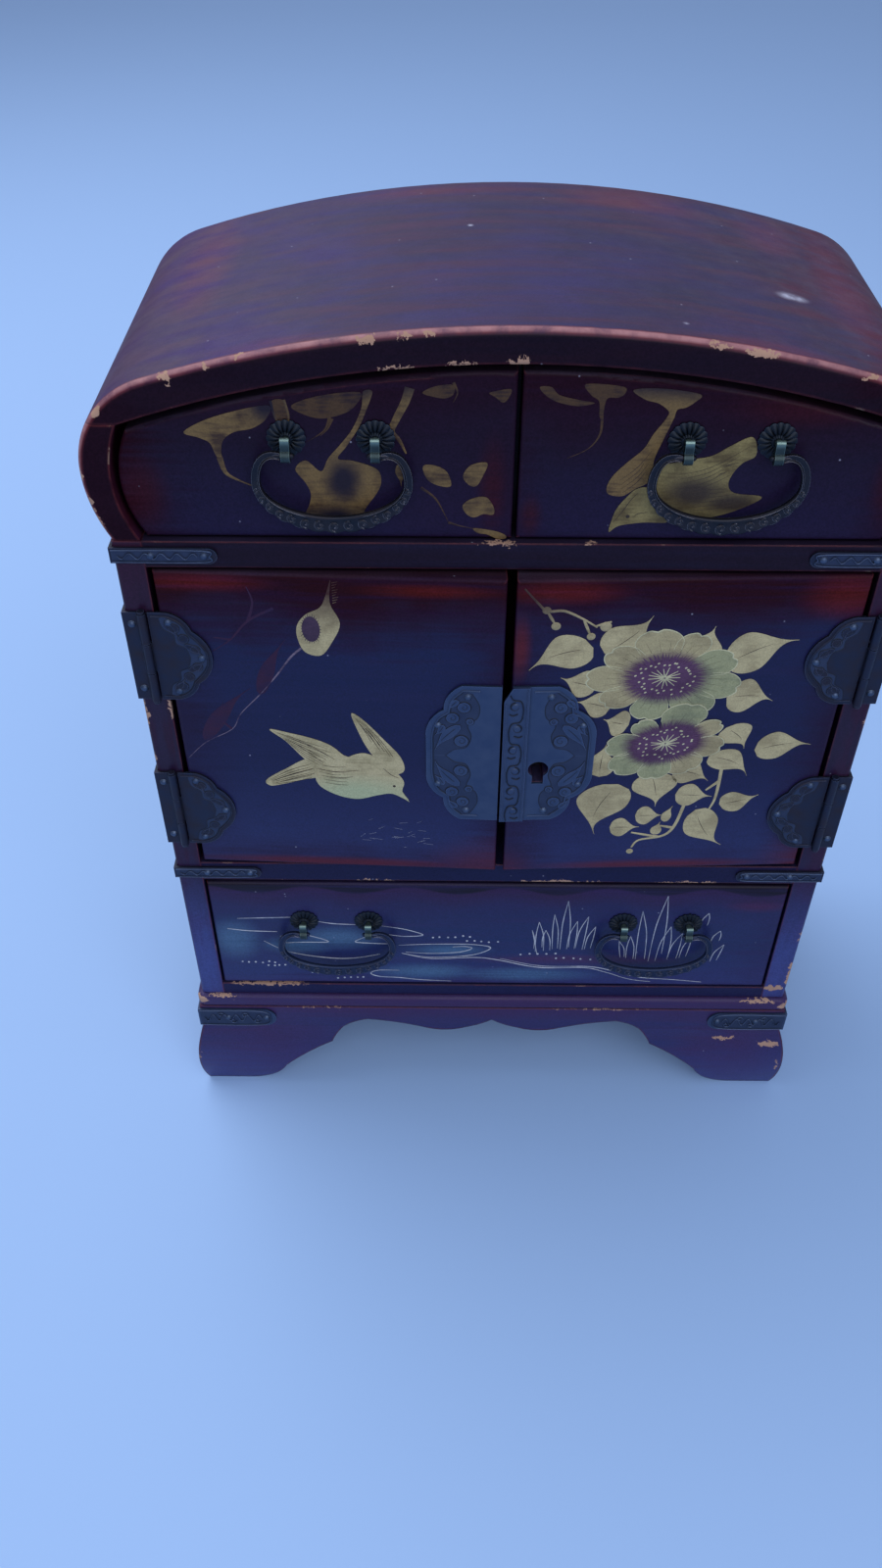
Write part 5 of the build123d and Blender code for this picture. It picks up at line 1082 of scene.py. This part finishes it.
for word, side, place in (("left", -1, leftDoor), ("right", 1, rightDoor)):
    work, leafWork, ground, lines = (bmesh.new() for _ in range(4))
    wide = plateLook[word]

    def plate(inward, height, rise):  # in from the door's free edge, up from the plate's middle
        return place(-side * (plateLook["freeEdge"] - inward), plateLook["level"] + height, rise)

    def outerPart(inward, height, rise):  # the same on both plates, measured from the outer edge
        return plate(inward + wide - plateLook["left"], height, rise)

    for end in (-1, 1):
        corner = [(share * wide, end * tall * plateLook["half"]) for share, tall in plateLook["corner"]]
        flank = [(share * wide, end * tall * plateLook["half"]) for share, tall in plateLook["flank"]]
        outline = [(6.5, end * plateLook["half"])] + bow(*corner) + bow(*flank)[1:] + [(wide, 0)]
        shares = [(wide - (1 - share) * plateLook["left"], end * height)
                  for share, height in plateLook["inner"]]
        inner = smoothLine(shares, steps=4)
        film = inset(outline, -1.5 * end)[1:] + inner[::-1]
        addShape(ground, film, plate, sheet - 0.02, sheet + stampLook["ground"])
        stamp(work, [inset(outline, -1.7 * end)], plate, sheet, stampLook["rim"], 0.3)
        stamp(lines, [inset(outline, -2.2 * end)[1:], inner], plate, sheet, 0.36, 0.12)
        emboss(work, lines, plateLook, plateLook["left"], end, outerPart)
    for level in hingeLook["levels"]:

        def leaf(along, height, rise):  # from the hinge axis, up from the leaf's middle
            return place(-side * along, level + height, rise)

        for end in (-1, 1):
            lobe = [(share * hingeLook["reach"], end * tall * hingeLook["half"])
                    for share, tall in hingeLook["lobe"]]
            belly = bow(lobe[2], (hingeLook["reach"] * 0.95, lobe[2][1] * 0.45), (hingeLook["reach"], 0))
            outline = [(2.4, end * hingeLook["half"])] + bow(*lobe) + belly[1:]
            inner = smoothLine([(along, end * height) for along, height in hingeLook["inner"]], steps=4)
            film = inset(outline, -1.1 * end)[1:] + inner[::-1]
            addShape(ground, film, leaf, sheet - 0.02, sheet + stampLook["ground"])
            stamp(leafWork, [inset(outline, -1.2 * end)], leaf, sheet, 0.6, 0.3)
            stamp(lines, [inset(outline, -1.6 * end)[1:], inner], leaf, sheet, 0.3, 0.12)
            emboss(leafWork, lines, hingeLook, 1, end, leaf)
    if word == "right":
        near, far, tall, (cutWide, cutTall) = (stripLook[key] for key in ("near", "far", "half", "cut"))
        strip = bmesh.new()
        outline = [(near, -tall), (far, -tall), (far, tall), (near + cutWide, tall), (near, tall - cutTall)]
        addShape(strip, outline, plate, sheet, stripLook["top"])
        top, lift = stripLook["top"], stripLook["crest"] - stripLook["top"]
        for along, high in ((near + 0.6, 20.4), (far - 0.6, 25.2)):
            stamp(strip, [[(along, -25.2), (along, 0), (along, high)]], plate, top, 0.6, lift)
        middle = (near + far) / 2
        for k in range(6):
            z, hand = -21.6 + k * 8.2, 1 if k % 2 else -1
            eye = middle - 0.4 * hand
            addDot(strip, eye, z, 1.35, plate, top - stampLook["sink"], top + lift)
            vine = [(middle + off * hand, z + up) for off, up in stripLook["vine"]]
            sprig = [(middle + off * hand, z + up) for off, up in stripLook["sprig"]]
            scrolls = [curl(eye, z, 1.6, 90, 1.3, hand), smoothLine(vine), smoothLine(sprig)]
            stamp(lines, scrolls, plate, top, 0.4, lift * 0.9)
        piece = metalPiece(strip, "stampedMeetingStrip", "blackedSheetMetal", "right_door")
        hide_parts("lock_astragal")
    for film, name, metal in ((work, "StampedPlate", "blackedSheetMetal"),
                              (leafWork, "StampedHinges", "darkenedHingeMetal"),
                              (ground, "SootedGround", "sootedGroundMetal"),
                              (lines, "StampedLines", "engravedLineMetal")):
        metalPiece(film, f"{word}Door{name}", metal, f"{word}_door")

# Straps on the rails and the plinth: a rim and a running vine
strapLook = {"reach": 27.5, "rails": (112.5, 233.1), "railTall": 4.6, "railCorner": 105.8,
             "plinthLevel": 36.85, "plinthTall": 9.1, "plinthCorner": 107.3}
work, ground = bmesh.new(), bmesh.new()
bands = [(caseFace, level, strapLook["railTall"], strapLook["railCorner"]) for level in strapLook["rails"]]
bands.append((plinthFace, strapLook["plinthLevel"], strapLook["plinthTall"], strapLook["plinthCorner"]))
for side in (-1, 1):
    for place, level, tall, corner in bands:
        tip, root, edge = corner - strapLook["reach"] + 1.2, corner - 0.6, tall / 2 - 0.55
        rim = [(side * root, level + edge), (side * (tip + tall * 0.4), level + edge), (side * tip, level),
               (side * (tip + tall * 0.4), level - edge), (side * root, level - edge)]
        stamp(work, [smoothLine(rim, steps=7)], place, sheet, 0.5)
        addShape(ground, smoothLine(rim, steps=7), place, sheet - 0.02, sheet + stampLook["ground"])
        vine = [(side * (tip + 3.2 + k * 0.6), level + tall * 0.2 * math.sin(k * 0.9)) for k in range(36)]
        stamp(work, [vine], place, sheet, 0.5)
        if tall > 6:
            hands = [(k, 1 if k % 2 else -1) for k in range(4)]
            curls = [curl(side * (tip + 5 + 4.4 * k), level + 1.7 * hand, 1.3, 0, 1.1, hand)
                     for k, hand in hands]
            stamp(work, curls, place, sheet, 0.5)
metalPiece(work, "strapStampedOrnament", "blackedSheetMetal", "case")
metalPiece(ground, "strapSootedGround", "sootedGroundMetal", "case")
print("sheet metal is stamped")

# Rosettes: chrysanthemums of sixteen hollow petals round a boss
rosetteLook = {"petals": 16, "spacing": 22, "boss": 1.6, "rings": (0.8, 1.4, 1.8, 2.2, 2.8, 3.4, 4, 4.5),
               "rim": 4.25, "scallop": 0.65, "petalFoot": 1.7, "petalLong": 2.8,
               "flareFrom": 3.6, "flare": 0.35}


def addRosette(bm, x, z, faceY):
    look = rosetteLook
    count, rings = look["petals"] * 8, []
    for radius in look["rings"] + (None,):
        ring = []
        for angle in around(count):
            ridge = abs(math.cos(angle * look["petals"] / 2)) ** 0.7
            if radius is None:  # scalloped rim on the drawer's face
                reach, rise = look["rim"] + look["scallop"] * ridge, 0
            else:
                share = max(0, (radius - look["petalFoot"]) / look["petalLong"])
                reach = radius + (look["flare"] * ridge * share if radius > look["flareFrom"] else 0)
                hump = 0.5 + 0.75 * math.sin(math.pi * min(1, 0.25 + share * 0.72)) * (0.35 + 0.65 * ridge)
                rise = max(1.5 if radius < look["boss"] else 0, hump)
            spot = Vector((x + reach * math.cos(angle), faceY - rise, z + reach * math.sin(angle)))
            ring.append(bm.verts.new(spot * mm))
        rings.append(ring)
    middle = bm.verts.new(Vector((x, faceY - look["boss"], z)) * mm)
    for k in range(count):
        bm.faces.new((middle, rings[0][k - 1], rings[0][k]))
        for near, far in zip(rings, rings[1:]):
            bm.faces.new((near[k - 1], far[k - 1], far[k], near[k]))
    bm.faces.new(rings[-1])


# Drop handles: a flat band that widens to a scalloped, scrolled belly, with a bead along its inner edge
bailLook = {"neck": (12.5, 1), "waist": (20.2, -7.2), "belly": (0, -21.4), "sideWidth": 2.4,
            "bellyWidth": 4.8, "scallops": 34, "scallop": 0.55, "lift": 1.1, "pinRadius": 0.75,
            "pinFrom": 8.9, "pinTo": 14.2,
            "front": ((0, 0.15), (0.05, 0.7), (0.14, 0.9), (0.24, 0.7), (0.32, 0.4), (0.6, 0.46),
                      (0.84, 0.56), (0.94, 0.5), (1, 0.1)),
            "back": ((0.96, -0.5), (0.7, -0.7), (0.3, -0.7), (0.04, -0.5))}


def quarter(start, end, level, count):  # quarter of an ellipse that leaves its start level or upright
    drawn = []
    for k in range(count):
        t = k / count * math.pi / 2
        a, b = (math.sin(t), 1 - math.cos(t)) if level else (1 - math.cos(t), math.sin(t))
        drawn.append(Vector((start[0] + (end[0] - start[0]) * a, start[1] + (end[1] - start[1]) * b)))
    return drawn


def bailEdge(neck, waist, belly):
    shoulder = quarter(neck, waist, True, 12)
    for k, spot in enumerate(shoulder):  # the shoulder swells above the eye
        spot.y += bailLook["lift"] * math.sin(math.pi * k / 12)
    half = shoulder + quarter(waist, belly, False, 40) + [Vector(belly)]
    return half + [Vector((-spot.x, spot.y)) for spot in half[-2::-1]]


def tube(bm, rings):  # skin over rings of like count, closed at both ends
    for near, far in zip(rings, rings[1:]):
        for k in range(len(near)):
            bm.faces.new((near[k - 1], near[k], far[k], far[k - 1]))
    bm.faces.new(rings[0])
    bm.faces.new(rings[-1][::-1])


def addBail(bm, lines, x, z, pivotY):
    look = bailLook
    neckX, neckZ = look["neck"]
    outer = bailEdge(look["neck"], look["waist"], look["belly"])
    inner = bailEdge((neckX, -neckZ), (look["waist"][0] - look["sideWidth"], look["waist"][1]),
                     (0, look["belly"][1] + look["bellyWidth"]))
    count, rings = len(outer), []

    def face(a, h, rise):
        return Vector((x + a, pivotY - rise, z + h)) * mm

    for i in range(count):
        t = i / (count - 1)
        swell = min(1, max(0, (math.sin(math.pi * t) - 0.55) / 0.2))
        ripple = look["scallop"] * swell * (abs(math.sin(t * look["scallops"] * math.pi / 2)) - 0.6)
        across = outer[i] - inner[i]
        spots = [(inner[i] + across * share + across.normalized() * (ripple if share > 0.9 else 0), rise)
                 for share, rise in look["front"] + look["back"]]
        rings.append([bm.verts.new(face(spot.x, spot.y, rise)) for spot, rise in spots])
    tube(bm, rings)
    for k in range(-7, 8):  # scrolls along the belly
        at, hand = count // 2 + k * 5, 1 if k % 2 else -1
        across = outer[at] - inner[at]
        spot = inner[at] + across * 0.62
        scroll = curl(spot.x, spot.y, across.length * 0.3, 90 * hand, 1, hand)
        addStroke(bm, scroll, (0.5, 0.6, 0.4), face, 0.38, 0.68)
        addStroke(lines, [(a + 0.3, h - 0.3) for a, h in scroll], (0.3, 0.36, 0.24), face, 0.38, 0.6)
    for side in (-1, 1):  # pins that turn in the eyes, with rounded ends
        start, end, radius = look["pinFrom"], look["pinTo"], look["pinRadius"]
        steps = ((start, 0.45), (start + 0.25, 0.85), (start + 0.7, 1), (end - 0.8, 1), (end, 0.6))
        rounds = [(side * along, ellipse(0, 0, radius * share, radius * share, 14))
                  for along, share in steps]
        tube(bm, [[bm.verts.new(face(along, h, d)) for h, d in ring] for along, ring in rounds])


for drawer, faceY, handles in (("upper_left_drawer", upperFaceY, ("upper_left",)),
                               ("upper_right_drawer", upperFaceY, ("upper_right",)),
                               ("lower_drawer", lowerFaceY, ("lower_left", "lower_right"))):
    flowers = bmesh.new()
    low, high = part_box(drawer + "_rosettes")
    for handle in handles:
        x, pivotY, z = (value / mm for value in joints[handle + "_handle_swing"]["pos_m"])
        for side in (-1, 1):
            addRosette(flowers, x + side * rosetteLook["spacing"] / 2, (low.z + high.z) / 2 / mm, faceY)
        band, lines = bmesh.new(), bmesh.new()
        addBail(band, lines, x, z, pivotY)
        metalPiece(lines, handle + "HandleScrolls", "engravedLineMetal", handle + "_handle", 50)
        piece = metalPiece(band, handle + "DropHandle", "brownedHandleMetal", handle + "_handle", 50)
        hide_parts(handle + "_bail")
    piece = metalPiece(flowers, drawer + "Rosettes", "blackedRosetteMetal", drawer, 50)
    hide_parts(drawer + "_rosettes")
print("handles and rosettes are made")

print("cabinet is ready")
